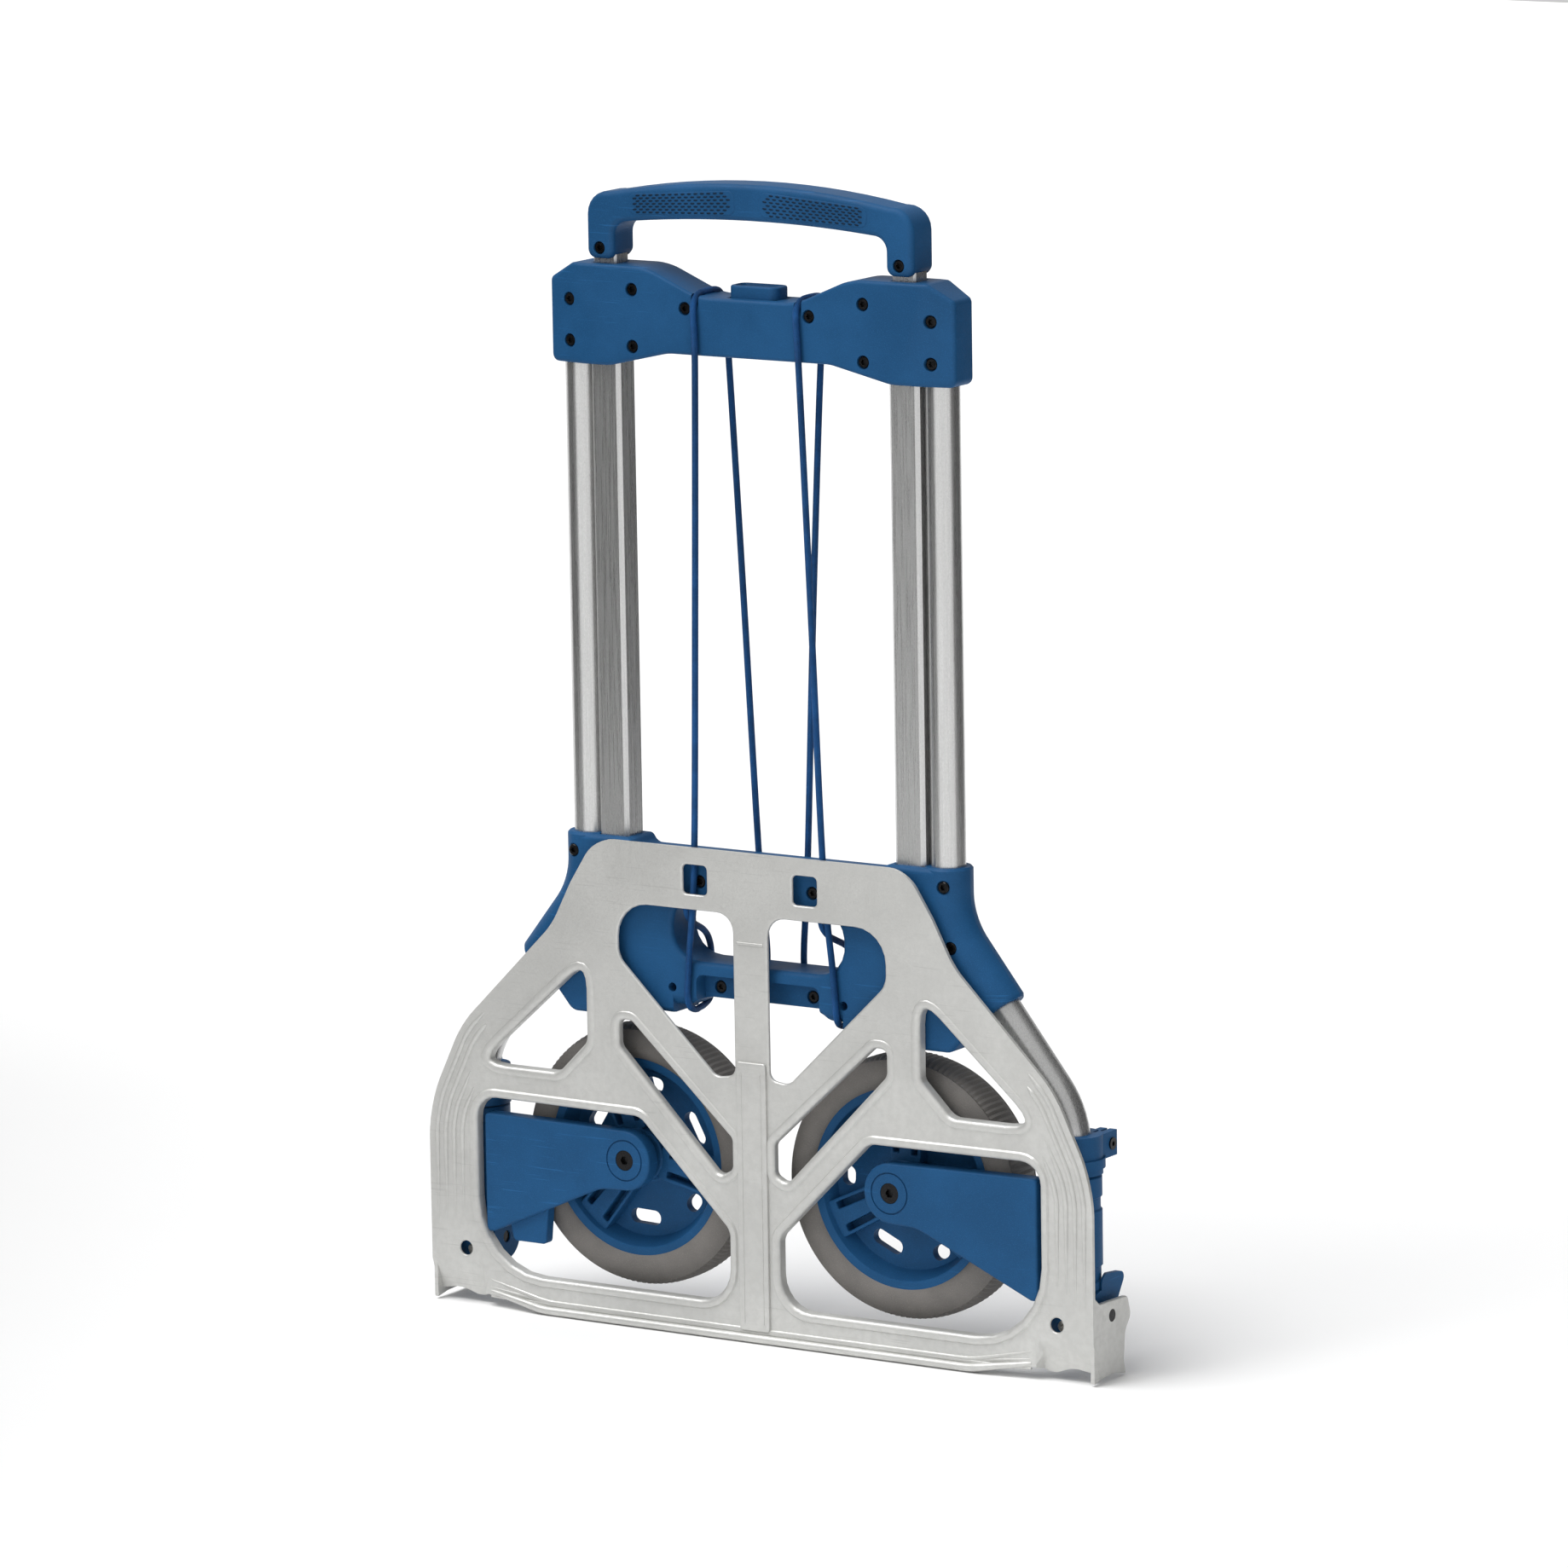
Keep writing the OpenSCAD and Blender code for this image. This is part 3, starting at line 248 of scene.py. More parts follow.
def build_braid():
    """Crossing strands round and along a cord, on its own UV map: u goes round it and v along it."""
    tree, given, out = group_tree("Braid",
                                  [("Vector", "NodeSocketVector", None), ("Round", "NodeSocketFloat", 6.0),
                                   ("Along", "NodeSocketFloat", 300.0)],
                                  ["Height", "Gaps"])
    parts = node(tree, "ShaderNodeSeparateXYZ", Vector=given.outputs["Vector"])
    around = math_node(tree, "MULTIPLY", parts.outputs["X"], given.outputs["Round"])
    onward = math_node(tree, "MULTIPLY", parts.outputs["Y"], given.outputs["Along"])
    strands = []
    for operation in ("ADD", "SUBTRACT"):
        phase = math_node(tree, operation, onward, around)
        wave = node(tree, "ShaderNodeMath", {"operation": "SINE"},
                    n0=math_node(tree, "MULTIPLY", phase, 2 * math.pi))
        strands.append(wave.outputs[0])
    height = math_node(tree, "MAXIMUM", *strands)
    tree.links.new(height, out.inputs["Height"])
    tree.links.new(remapped(tree, height, -0.5, 0.35, 1.0, 0.0), out.inputs["Gaps"])
    return tree


def finish_tree(name):
    """An empty node material with its Principled shader, its output and the object's own coordinates."""
    material = bpy.data.materials.new(f"truck_{name}")
    material.use_nodes = True
    tree = material.node_tree
    tree.nodes.clear()
    shader = tree.nodes.new("ShaderNodeBsdfPrincipled")
    out = tree.nodes.new("ShaderNodeOutputMaterial")
    tree.links.new(shader.outputs["BSDF"], out.inputs["Surface"])
    return material, tree, shader, tree.nodes.new("ShaderNodeTexCoord").outputs["Object"]


def placed(tree, group, **inputs):
    """A shader node group placed in a material, with its inputs set or linked."""
    made = node(tree, "ShaderNodeGroup", {"node_tree": group})
    for key, value in inputs.items():
        if isinstance(value, bpy.types.NodeSocket):
            tree.links.new(value, made.inputs[key])
        else:
            made.inputs[key].default_value = value
    return made


def mixed(tree, factor, a, b):
    """Colour a where factor is 0 and b where it is 1. Each is a colour or a socket."""
    mix = node(tree, "ShaderNodeMix", {"data_type": "RGBA"})
    tree.links.new(factor, mix.inputs["Factor"])
    for socket, value in ((mix.inputs[6], a), (mix.inputs[7], b)):
        if isinstance(value, bpy.types.NodeSocket):
            tree.links.new(value, socket)
        else:
            socket.default_value = (*value, 1)
    return mix.outputs[2]


def bumped(tree, height, shader, strength, distance):
    """Gives the shader a bump from a height."""
    bump = node(tree, "ShaderNodeBump", Height=height, Strength=strength, Distance=distance)
    tree.links.new(bump.outputs["Normal"], shader.inputs["Normal"])


def shade(colour, by):
    """The colour made lighter or darker."""
    return tuple(min(1.0, c * by) for c in colour)


def make_plastic(groups, name, colour, scale=850.0):
    """Moulded plastic with grain, uneven gloss and handling marks."""
    material, tree, shader, place = finish_tree(name)
    cloud = placed(tree, groups["cloud"], Vector=place, Scale=14.0)
    grain = placed(tree, groups["grain"], Vector=place, Scale=scale)
    marks = placed(tree, groups["scratches"], Vector=place, Scale=26.0, Cover=0.55)
    base = mixed(tree, cloud.outputs["Patches"], shade(colour, 0.9), shade(colour, 1.12))
    pitted = mixed(tree, math_node(tree, "MULTIPLY", grain.outputs["Pits"], 0.35), base, shade(colour, 1.9))
    worn = mixed(tree, math_node(tree, "MULTIPLY", marks.outputs["Marks"], 0.5), pitted, shade(colour, 2.4))
    tree.links.new(worn, shader.inputs["Base Color"])
    tree.links.new(remapped(tree, cloud.outputs["Patches"], 0, 1, 0.44, 0.54), shader.inputs["Roughness"])
    shader.inputs["Specular IOR Level"].default_value = 0.12
    bumped(tree, grain.outputs["Height"], shader, 0.16, 0.0004)
    return material


def make_plate_metal(groups, colours):
    """Mottled mill-finish sheet with scuffs."""
    material, tree, shader, place = finish_tree("stamped_aluminium")
    cloud = placed(tree, groups["cloud"], Vector=place, Scale=16.0)
    fine = placed(tree, groups["cloud"], Vector=place, Scale=210.0)
    grain = placed(tree, groups["grain"], Vector=place, Scale=520.0)
    marks = placed(tree, groups["scratches"], Vector=place, Scale=22.0, Cover=0.9)
    colour = tuple(colours.plate)
    base = mixed(tree, cloud.outputs["Patches"], shade(colour, 0.93), shade(colour, 1.05))
    mottled = mixed(tree, math_node(tree, "MULTIPLY", fine.outputs["Patches"], 0.28), base,
                    shade(colour, 0.84))
    scuffed = mixed(tree, math_node(tree, "MULTIPLY", marks.outputs["Marks"], 0.4), mottled,
                    shade(colour, 0.7))
    tree.links.new(scuffed, shader.inputs["Base Color"])
    shader.inputs["Metallic"].default_value = 0.45
    tree.links.new(remapped(tree, fine.outputs["Patches"], 0, 1, 0.36, 0.5), shader.inputs["Roughness"])
    bumped(tree, grain.outputs["Height"], shader, 0.18, 0.0004)
    return material


def make_tube_metal(groups, colours):
    """Satin tube with the fine lines of drawing."""
    material, tree, shader, place = finish_tree("aluminium_tube")
    cloud = placed(tree, groups["cloud"], Vector=place, Scale=9.0)
    drawn = placed(tree, groups["drawn"], Vector=place, Scale=900.0)
    colour = tuple(colours.tube)
    base = mixed(tree, remapped(tree, drawn.outputs["Specks"], 0.35, 0.65), shade(colour, 0.95),
                 shade(colour, 1.04))
    uneven = mixed(tree, math_node(tree, "MULTIPLY", cloud.outputs["Patches"], 0.2), base,
                   shade(colour, 0.85))
    tree.links.new(uneven, shader.inputs["Base Color"])
    shader.inputs["Metallic"].default_value = 0.88
    tree.links.new(remapped(tree, drawn.outputs["Lines"], 0.3, 0.7, 0.24, 0.34), shader.inputs["Roughness"])
    bumped(tree, drawn.outputs["Lines"], shader, 0.03, 0.0001)
    return material


def make_rubber(groups, colours):
    """Grey rubber with a dusty grain."""
    material, tree, shader, place = finish_tree("grey_tyre")
    cloud = placed(tree, groups["cloud"], Vector=place, Scale=40.0)
    grain = placed(tree, groups["grain"], Vector=place, Scale=1100.0)
    colour = tuple(colours.tyre)
    base = mixed(tree, cloud.outputs["Patches"], shade(colour, 0.88), shade(colour, 1.1))
    dusty = mixed(tree, math_node(tree, "MULTIPLY", grain.outputs["Pits"], 0.5), base, shade(colour, 1.7))
    tree.links.new(dusty, shader.inputs["Base Color"])
    tree.links.new(remapped(tree, cloud.outputs["Patches"], 0, 1, 0.62, 0.74), shader.inputs["Roughness"])
    bumped(tree, grain.outputs["Height"], shader, 0.25, 0.0004)
    return material


def make_cord_cover(groups, colours):
    """The woven cover of the elastic cords, with painted shade in the gaps between its strands."""
    material, tree, shader, place = finish_tree("elastic_cord")
    own = tree.nodes.new("ShaderNodeTexCoord").outputs["UV"]
    braid = placed(tree, groups["braid"], Vector=own, Round=5.0, Along=330.0)
    cloud = placed(tree, groups["cloud"], Vector=place, Scale=60.0)
    colour = tuple(colours.cord)
    base = mixed(tree, cloud.outputs["Patches"], shade(colour, 0.85), shade(colour, 1.25))
    # The low gaps between the strands are painted much darker: painted shade in the recesses of the weave.
    woven = mixed(tree, braid.outputs["Gaps"], base, shade(colour, 0.35))
    tree.links.new(woven, shader.inputs["Base Color"])
    tree.links.new(remapped(tree, braid.outputs["Gaps"], 0, 1, 0.6, 0.85), shader.inputs["Roughness"])
    shader.inputs["Specular IOR Level"].default_value = 0.2
    bumped(tree, braid.outputs["Height"], shader, 0.6, 0.0003)
    return material


def make_metal(groups, name, colour, metallic, low, high):
    """Small bright or blackened hardware, its roughness between low and high."""
    material, tree, shader, place = finish_tree(name)
    cloud = placed(tree, groups["cloud"], Vector=place, Scale=120.0)
    grain = placed(tree, groups["grain"], Vector=place, Scale=1500.0)
    base = mixed(tree, cloud.outputs["Patches"], shade(colour, 0.8), shade(colour, 1.3))
    tree.links.new(base, shader.inputs["Base Color"])
    shader.inputs["Metallic"].default_value = metallic
    tree.links.new(remapped(tree, cloud.outputs["Patches"], 0, 1, low, high), shader.inputs["Roughness"])
    bumped(tree, grain.outputs["Height"], shader, 0.12, 0.0002)
    return material


def finish(name):
    """The finish made for that slot."""
    return bpy.data.materials[f"truck_{name}"]


# ---- modelling ----

def outline(corners, steps=6):
    """The points (x, z) round a flat outline, its corners (x, z, radius) rounded."""
    bm = bmesh.new()
    verts = [bm.verts.new((x, 0, z)) for x, z, _ in corners]
    bm.faces.new(verts)
    n = len(corners)
    for i, vert in enumerate(verts):
        radius = corners[i][2]
        if radius > 0:
            p, a, b = (Vector(corners[k % n][:2]) for k in (i, i - 1, i + 1))
            half = (a - p).angle(b - p) / 2
            bmesh.ops.bevel(bm, geom=[vert], offset=radius / math.tan(half), offset_type="OFFSET",
                            segments=steps, profile=0.5, affect="VERTICES", material=-1, clamp_overlap=False)
    bm.faces.ensure_lookup_table()
    points = [(v.co.x, v.co.z) for v in bm.faces[0].verts]
    bm.free()
    return points


def turning(corners):
    """1 if the outline goes round anticlockwise seen from the front, -1 if clockwise."""
    area = sum(a[0] * b[1] - b[0] * a[1] for a, b in zip(corners, corners[1:] + corners[:1]))
    return 1 if area > 0 else -1


def grown(corners, by):
    """The outline's corners moved out by that much, or in if it is negative."""
    n, turn, moved = len(corners), turning(corners), []
    for i in range(n):
        a, b, c = (Vector(corners[k % n][:2]) for k in (i - 1, i, i + 1))
        first, second = (b - a).normalized(), (c - b).normalized()
        out_1 = Vector((first.y, -first.x)) * turn
        out_2 = Vector((second.y, -second.x)) * turn
        middle = (out_1 + out_2).normalized()
        at = b + middle * (by / middle.dot(out_1))
        convex = turn * (first.x * second.y - first.y * second.x) > 0
        moved.append((at.x, at.y, max(corners[i][2] + (by if convex else -by), 0.4) if corners[i][2] else 0))
    return moved


def mirrored(corners):
    """The outline's mirror image on the left."""
    return [(-x, z, r) for x, z, r in reversed(corners)]


def doubled(right):
    """A right-hand outline and its mirror image as one."""
    return list(right) + mirrored(right)


def flat_face(bm, points, y):
    """A face in the plane of that y, looking to the front."""
    face = bm.faces.new([bm.verts.new((x, y, z)) for x, z in points])
    face.normal_update()
    if face.normal.y > 0:
        face.normal_flip()
    return face


def rings(bm, face, moves):
    """Insets the face again and again by moves (inwards, forwards), and returns it."""
    for inward, forward in moves:
        bmesh.ops.inset_region(bm, faces=[face], use_boundary=True, use_even_offset=True,
                               thickness=inward, depth=0)
        bmesh.ops.translate(bm, verts=face.verts, vec=FRONT * forward)
    return face


def opened(bm, face):
    """Takes the face away and leaves its edges."""
    bmesh.ops.delete(bm, geom=[face], context="FACES_ONLY")


def filled(bm, y):
    """Closes every open edge loop that lies in the plane of that y, outer loops and holes together."""
    loops = [e for e in bm.edges if len(e.link_faces) < 2 and all(abs(v.co.y - y) < 1e-4 for v in e.verts)]
    bmesh.ops.triangle_fill(bm, use_beauty=True, use_dissolve=False, edges=loops)


def quarter(radius, steps):
    """Moves (inwards, forwards) round a quarter circle, from a wall on to a face."""
    angles = [math.pi / 2 * k / steps for k in range(steps + 1)]
    return [(radius * (math.cos(a) - math.cos(b)), radius * (math.sin(b) - math.sin(a)))
            for a, b in zip(angles, angles[1:])]


def slab(outer, holes=(), front=0.0, back=1.0, round_front=1.0, round_back=0.0, steps=3):
    """A plate between two planes, from front back to back, with rounded rims. Outlines are corners."""
    bm = bmesh.new()
    face = flat_face(bm, outline(outer), front + round_front)
    wall = bmesh.ops.extrude_edge_only(bm, edges=list(face.edges))["geom"]
    moved = {g for g in wall if isinstance(g, bmesh.types.BMVert)}
    bmesh.ops.translate(bm, verts=list(moved), vec=FRONT * (front + round_front - back + round_back))
    if round_back:
        far = [g for g in wall if isinstance(g, bmesh.types.BMEdge) and set(g.verts) <= moved]
        cap = bmesh.ops.contextual_create(bm, geom=far)["faces"][0]
        opened(bm, rings(bm, cap, [(a, -b) for a, b in quarter(round_back, 2)]))
    opened(bm, rings(bm, face, quarter(round_front, steps)))
    for corners in holes:
        face = flat_face(bm, outline(grown(corners, round_front)), front)
        rings(bm, face, [(b, -a) for a, b in quarter(round_front, steps)])
        rings(bm, face, [(0.02, front + round_front - back)])
        opened(bm, face)
    filled(bm, front)
    filled(bm, back)
    bmesh.ops.recalc_face_normals(bm, faces=bm.faces)
    return bm


def lathe(profile, centre, axis, steps=64, closed=False):
    """Turns points (radius, distance along the axis) about an axis through centre."""
    bm = bmesh.new()
    axis, centre = Vector(axis), Vector(centre)
    side = axis.orthogonal().normalized()
    verts = [bm.verts.new(centre + side * r + axis * a) for r, a in profile]
    pairs = list(zip(verts, verts[1:])) + ([(verts[-1], verts[0])] if closed else [])
    edges = [bm.edges.new(pair) for pair in pairs]
    bmesh.ops.spin(bm, geom=verts + edges, cent=centre, axis=axis, angle=2 * math.pi, steps=steps,
                   use_merge=True)
    bmesh.ops.remove_doubles(bm, verts=bm.verts, dist=1e-4)
    bmesh.ops.recalc_face_normals(bm, faces=bm.faces)
    return bm


def box_solid(x0, x1, y0, y1, z0, z1, rounding=0.0, steps=2):
    """A box between those limits, its edges rounded if asked."""
    bm = bmesh.new()
    bmesh.ops.create_cube(bm, size=1)
    bmesh.ops.scale(bm, verts=bm.verts, vec=(x1 - x0, y1 - y0, z1 - z0))
    bmesh.ops.translate(bm, verts=bm.verts, vec=((x0 + x1) / 2, (y0 + y1) / 2, (z0 + z1) / 2))
    if rounding:
        bmesh.ops.bevel(bm, geom=bm.edges[:], offset=rounding, offset_type="OFFSET", segments=steps,
                        profile=0.5, affect="EDGES", material=-1)
    return bm


def rod(x, z, y0, y1, radius, steps=32):
    """A plain rod along Y, for cutting."""
    return lathe([(0, y0), (radius, y0), (radius, y1), (0, y1)], (x, 0, z), (0, 1, 0), steps)


def turned(bm, matrix):
    """The shape moved by the matrix, and kept facing outwards by a mirror image."""
    bmesh.ops.transform(bm, matrix=matrix, verts=bm.verts)
    if matrix.determinant() < 0:
        bmesh.ops.reverse_faces(bm, faces=bm.faces)
    return bm


def flipped(bm):
    """The mirror image on the left."""
    return turned(bm, Matrix.Scale(-1, 4, (1, 0, 0)))


def joined(*parts):
    """One bmesh from several."""
    whole = bmesh.new()
    for part in parts:
        mesh = bpy.data.meshes.new("part")
        part.to_mesh(mesh)
        part.free()
        whole.from_mesh(mesh)
        bpy.data.meshes.remove(mesh)
    return whole


def cut(bm, cutters):
    """bm with the cutters' shapes taken away."""
    objects = []
    for name, shape in (("kept", bm), ("cutter", joined(*cutters))):
        mesh = bpy.data.meshes.new(name)
        shape.to_mesh(mesh)
        shape.free()
        obj = bpy.data.objects.new(name, mesh)
        bpy.context.scene.collection.objects.link(obj)
        objects.append(obj)
    kept, cutter = objects
    boolean = kept.modifiers.new("cut", "BOOLEAN")
    boolean.operation, boolean.solver, boolean.object = "DIFFERENCE", "EXACT", cutter
    boolean.use_self = True
    result = bpy.data.meshes.new_from_object(kept.evaluated_get(bpy.context.evaluated_depsgraph_get()))
    out = bmesh.new()
    out.from_mesh(result)
    if not out.faces:
        raise RuntimeError("a cut took everything away")
    for obj in objects:
        mesh = obj.data
        bpy.data.objects.remove(obj)
        bpy.data.meshes.remove(mesh)
    bpy.data.meshes.remove(result)
    return out


def piece(name, bm, material, body, replaced=(), sharp=38, wall=0.0):
    """A finished object from a bmesh in millimetres, given a thickness in metres if it is a bare sheet."""
    bmesh.ops.scale(bm, verts=bm.verts, vec=(0.001, 0.001, 0.001))
    mesh = bpy.data.meshes.new(name)
    bm.to_mesh(mesh)
    bm.free()
    mesh.shade_smooth()
    mesh.set_sharp_from_angle(angle=math.radians(sharp))
    mesh.materials.append(finish(material))
    obj = bpy.data.objects.new(name, mesh)
    bpy.context.scene.collection.objects.link(obj)
    if wall:
        solid = obj.modifiers.new("thickness", "SOLIDIFY")
        solid.thickness, solid.offset, solid.use_even_offset = wall, -1, True
        rim = obj.modifiers.new("edges", "BEVEL")
        rim.width, rim.segments = 0.0006, 2
        rim.limit_method, rim.angle_limit = "ANGLE", math.radians(60)
    even = obj.modifiers.new("even shading", "WEIGHTED_NORMAL")
    even.keep_sharp = True
    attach(obj, body)
    if replaced:
        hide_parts(*replaced)


def screw_head(x, z, face, radius=3.7, height=2.6):
    """A black screw's head looking to the front, with a six-lobed socket."""
    bm = lathe([(1.9, face), (radius - 0.5, face), (radius, face + 0.5), (radius, face + height)],
               (x, 0, z), (0, 1, 0), 24)
    centre = Vector((x, face, z))
    rim = [v for v in bm.verts if abs((v.co - centre).length - 1.9) < 0.05]
    for v in rim:
        out = v.co - centre
        angle = math.atan2(out.z, out.x)
        v.co = centre + out.normalized() * (1.75 + 0.32 * math.cos(6 * angle))
    edges = [e for e in bm.edges if e.verts[0] in rim and e.verts[1] in rim]
    deep = bmesh.ops.extrude_edge_only(bm, edges=edges)["geom"]
    verts = [g for g in deep if isinstance(g, bmesh.types.BMVert)]
    bmesh.ops.translate(bm, verts=verts, vec=(0, 1.7, 0))
    ends = [g for g in deep if isinstance(g, bmesh.types.BMEdge) and all(v in verts for v in g.verts)]
    bmesh.ops.contextual_create(bm, geom=ends)
    bmesh.ops.holes_fill(bm, edges=[e for e in bm.edges if e.is_boundary], sides=0)
    bmesh.ops.recalc_face_normals(bm, faces=bm.faces)
    return bm


def millimetres(name):
    """The low and high corners of a CAD part's box, in millimetres."""
    low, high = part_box(name)
    return low * 1000, high * 1000


# ---- toe plate ----

PLATE_EDGE = [(116, 315, 24), (135, 285, 30), (150, 256, 50), (222, 184, 70), (248.5, 128, 90), (248.5, 6, 0),
              (230, 9, 20), (214, 3, 12), (206, 8, 0), (160, 0, 60)]
UPPER_WINDOW = [(13, 275, 12), (100, 275, 22), (100, 240, 14), (27, 169, 8), (13, 171, 6)]
SLOT = [(16, 130, 4), (91, 199, 4), (100, 199, 4), (100, 182, 6), (25, 105, 5), (16, 110, 4)]
SIDE_WINDOW = [(125, 235, 8), (209, 160, 8), (147, 160, 10), (125, 182, 6)]
WHEEL_WINDOW = [(86, 137, 10), (211, 138, 14), (211, 23, 48), (19, 23, 22), (19, 70, 8)]
SMALL_WINDOW = [(32, 304, 3), (50, 304, 3), (50, 285, 3), (32, 285, 3)]
PLATE_FRONT = -23.6
SHEET = 2.6


def window(bm, corners, roll, rise, deep):
    """One window in the sheet: a raised lip and an edge turned back."""
    lip = 3.2 if rise else 0.0
    face = flat_face(bm, outline(grown(corners, roll + lip)), PLATE_FRONT)
    if rise:
        rings(bm, face, [(0.5, rise * 0.5), (0.5, rise * 0.5), (2.2, 0)])
    rings(bm, face, [(b, -a) for a, b in quarter(roll, 4)])
    rings(bm, face, [(0.05, -deep - rise)])
    opened(bm, face)


def line_mesh(points, radius, tip=1.0, sides=3):
    """The mesh of a round line along points, its two ends narrowed to that share, with its own UV map."""
    curve = bpy.data.curves.new("line", "CURVE")
    curve.dimensions = "3D"
    curve.bevel_depth, curve.bevel_resolution, curve.use_fill_caps = radius, sides, True
    spline = curve.splines.new("POLY")
    spline.points.add(len(points) - 1)
    for point, place in zip(spline.points, points):
        point.co = (*place, 1)
    for end in (0, -1):
        spline.points[end].radius = tip
    drawn = bpy.data.objects.new("line", curve)
    bpy.context.scene.collection.objects.link(drawn)
    mesh = bpy.data.meshes.new_from_object(drawn.evaluated_get(bpy.context.evaluated_depsgraph_get()))
    bpy.data.objects.remove(drawn)
    bpy.data.curves.remove(curve)
    return mesh


def bar(points, radius, tip=1.0, sides=3):
    """A solid round bar along points, its two ends narrowed to that share."""
    mesh = line_mesh(points, radius, tip, sides)
    bm = bmesh.new()
    bm.from_mesh(mesh)
    bpy.data.meshes.remove(mesh)
    bmesh.ops.remove_doubles(bm, verts=bm.verts, dist=1e-4)
    bmesh.ops.recalc_face_normals(bm, faces=bm.faces)
    return bm


def ridge(points, width, rise, y):
    """A low rounded ridge along points (x, z) that stands out from the plane of that y."""
    radius = min((width * width / 4 + rise * rise) / (2 * rise), 1.9)
    return bar([(x, y + radius - rise, z) for x, z in points], radius, 0.45)


def open_path(corners):
    """Points along an open path with rounded corners (x, z, radius).

    A spare corner closes the path so that its corners can be rounded, and is dropped.
    """
    first, last = corners[0], corners[-1]
    spare = (first[0] + last[0]) / 2 - 400, (first[1] + last[1]) / 2 + 37.0, 0
    points = outline(list(corners) + [spare], 10)
    at = min(range(len(points)), key=lambda k: (Vector(points[k]) - Vector(spare[:2])).length)
    ordered = points[at + 1:] + points[:at]
    if (Vector(ordered[0]) - Vector(first[:2])).length > (Vector(ordered[-1]) - Vector(first[:2])).length:
        ordered.reverse()
    return ordered


def plate_sheet(sizes):
    """The sheet with its windows, before it has thickness."""
    bm = bmesh.new()
    roll = sizes.plate_roll * 1000
    opened(bm, flat_face(bm, outline(doubled(PLATE_EDGE)), PLATE_FRONT))
    for corners, rise, deep in ((UPPER_WINDOW, 0.0, 0.4), (SLOT, 1.1, 1.4), (SIDE_WINDOW, 1.1, 3.4),
                                (WHEEL_WINDOW, 1.2, 3.4), (SMALL_WINDOW, 0.0, 0.2)):
        for shape in (corners, mirrored(corners)):
            window(bm, shape, roll if rise else roll * 0.5, rise, deep)
    for side in (-1, 1):
        hole = [(side * FOOT_X + 4.8 * math.cos(math.pi * k / 8), 36.4 + 4.8 * math.sin(math.pi * k / 8), 0)
                for k in range(16)]
        window(bm, hole, 1.0, 0.0, 0.3)
    filled(bm, PLATE_FRONT)
    for at, way in (((0, 0, 27), (0, 0, 1)), ((207, 0, 0), (1, 0, 0)), ((209.5, 0, 0), (1, 0, 0)),
                    ((-207, 0, 0), (1, 0, 0)), ((-209.5, 0, 0), (1, 0, 0))):
        bmesh.ops.bisect_plane(bm, geom=bm.verts[:] + bm.edges[:] + bm.faces[:], plane_co=at, plane_no=way)
    for v in bm.verts:
        if v.co.z < 27 and abs(v.co.x) > 207.1:
            v.co.y += (27 - v.co.z) * 0.3 + 0.8
    bmesh.ops.recalc_face_normals(bm, faces=bm.faces)
    if sum(f.normal.y * f.calc_area() for f in bm.faces) > 0:
        bmesh.ops.reverse_faces(bm, faces=bm.faces)
    return bm


def plate_ear():
    """The lug at the side that the hinge pin goes through, turned back from the sheet."""
    corners = [(-22.4, 1, 1), (-12, 3, 14), (2, 3.6, 14), (16, 0.6, 1), (14, 10, 10), (16, 28, 8),
               (23, 37, 5), (19, 50, 4), (-15, 51, 3), (-22.4, 57, 1)]
    bm = slab(corners, front=0.0, back=3.0, round_front=0.7, round_back=0.5)
    turn = Matrix(((0, -1, 0, 248.35), (1, 0, 0, 0), (0, 0, 1, 0), (0, 0, 0, 1)))
    bm = turned(bm, turn)
    hole = lathe([(0, -5), (4.06, -5), (4.06, 5), (0, 5)], (247, 0, 41), (1, 0, 0), 32)
    return cut(bm, [hole])


def flute_path(inset, high):
    """A flute that follows the plate's right edge round both of its upper bends."""
    (ax, az, _), (tx, tz, _), (bx, bz, _) = grown(doubled(PLATE_EDGE), -inset)[2:5]
    reach = high * 0.3
    return [(bx, 46 + inset * 0.6, 0), (bx, bz, 80 - inset), (tx, tz, 50),
            (tx + (ax - tx) * reach, tz + (az - tz) * reach, 0)]


def short_flute_path(inset, reach):
    """A flute that ends between the plate's two upper bends."""
    (tx, tz, _), (bx, bz, _) = grown(doubled(PLATE_EDGE), -inset)[3:5]
    return [(bx, 46 + inset * 0.6, 0), (bx, bz, 70 - inset),
            (bx + (tx - bx) * reach, bz + (tz - bz) * reach, 0)]


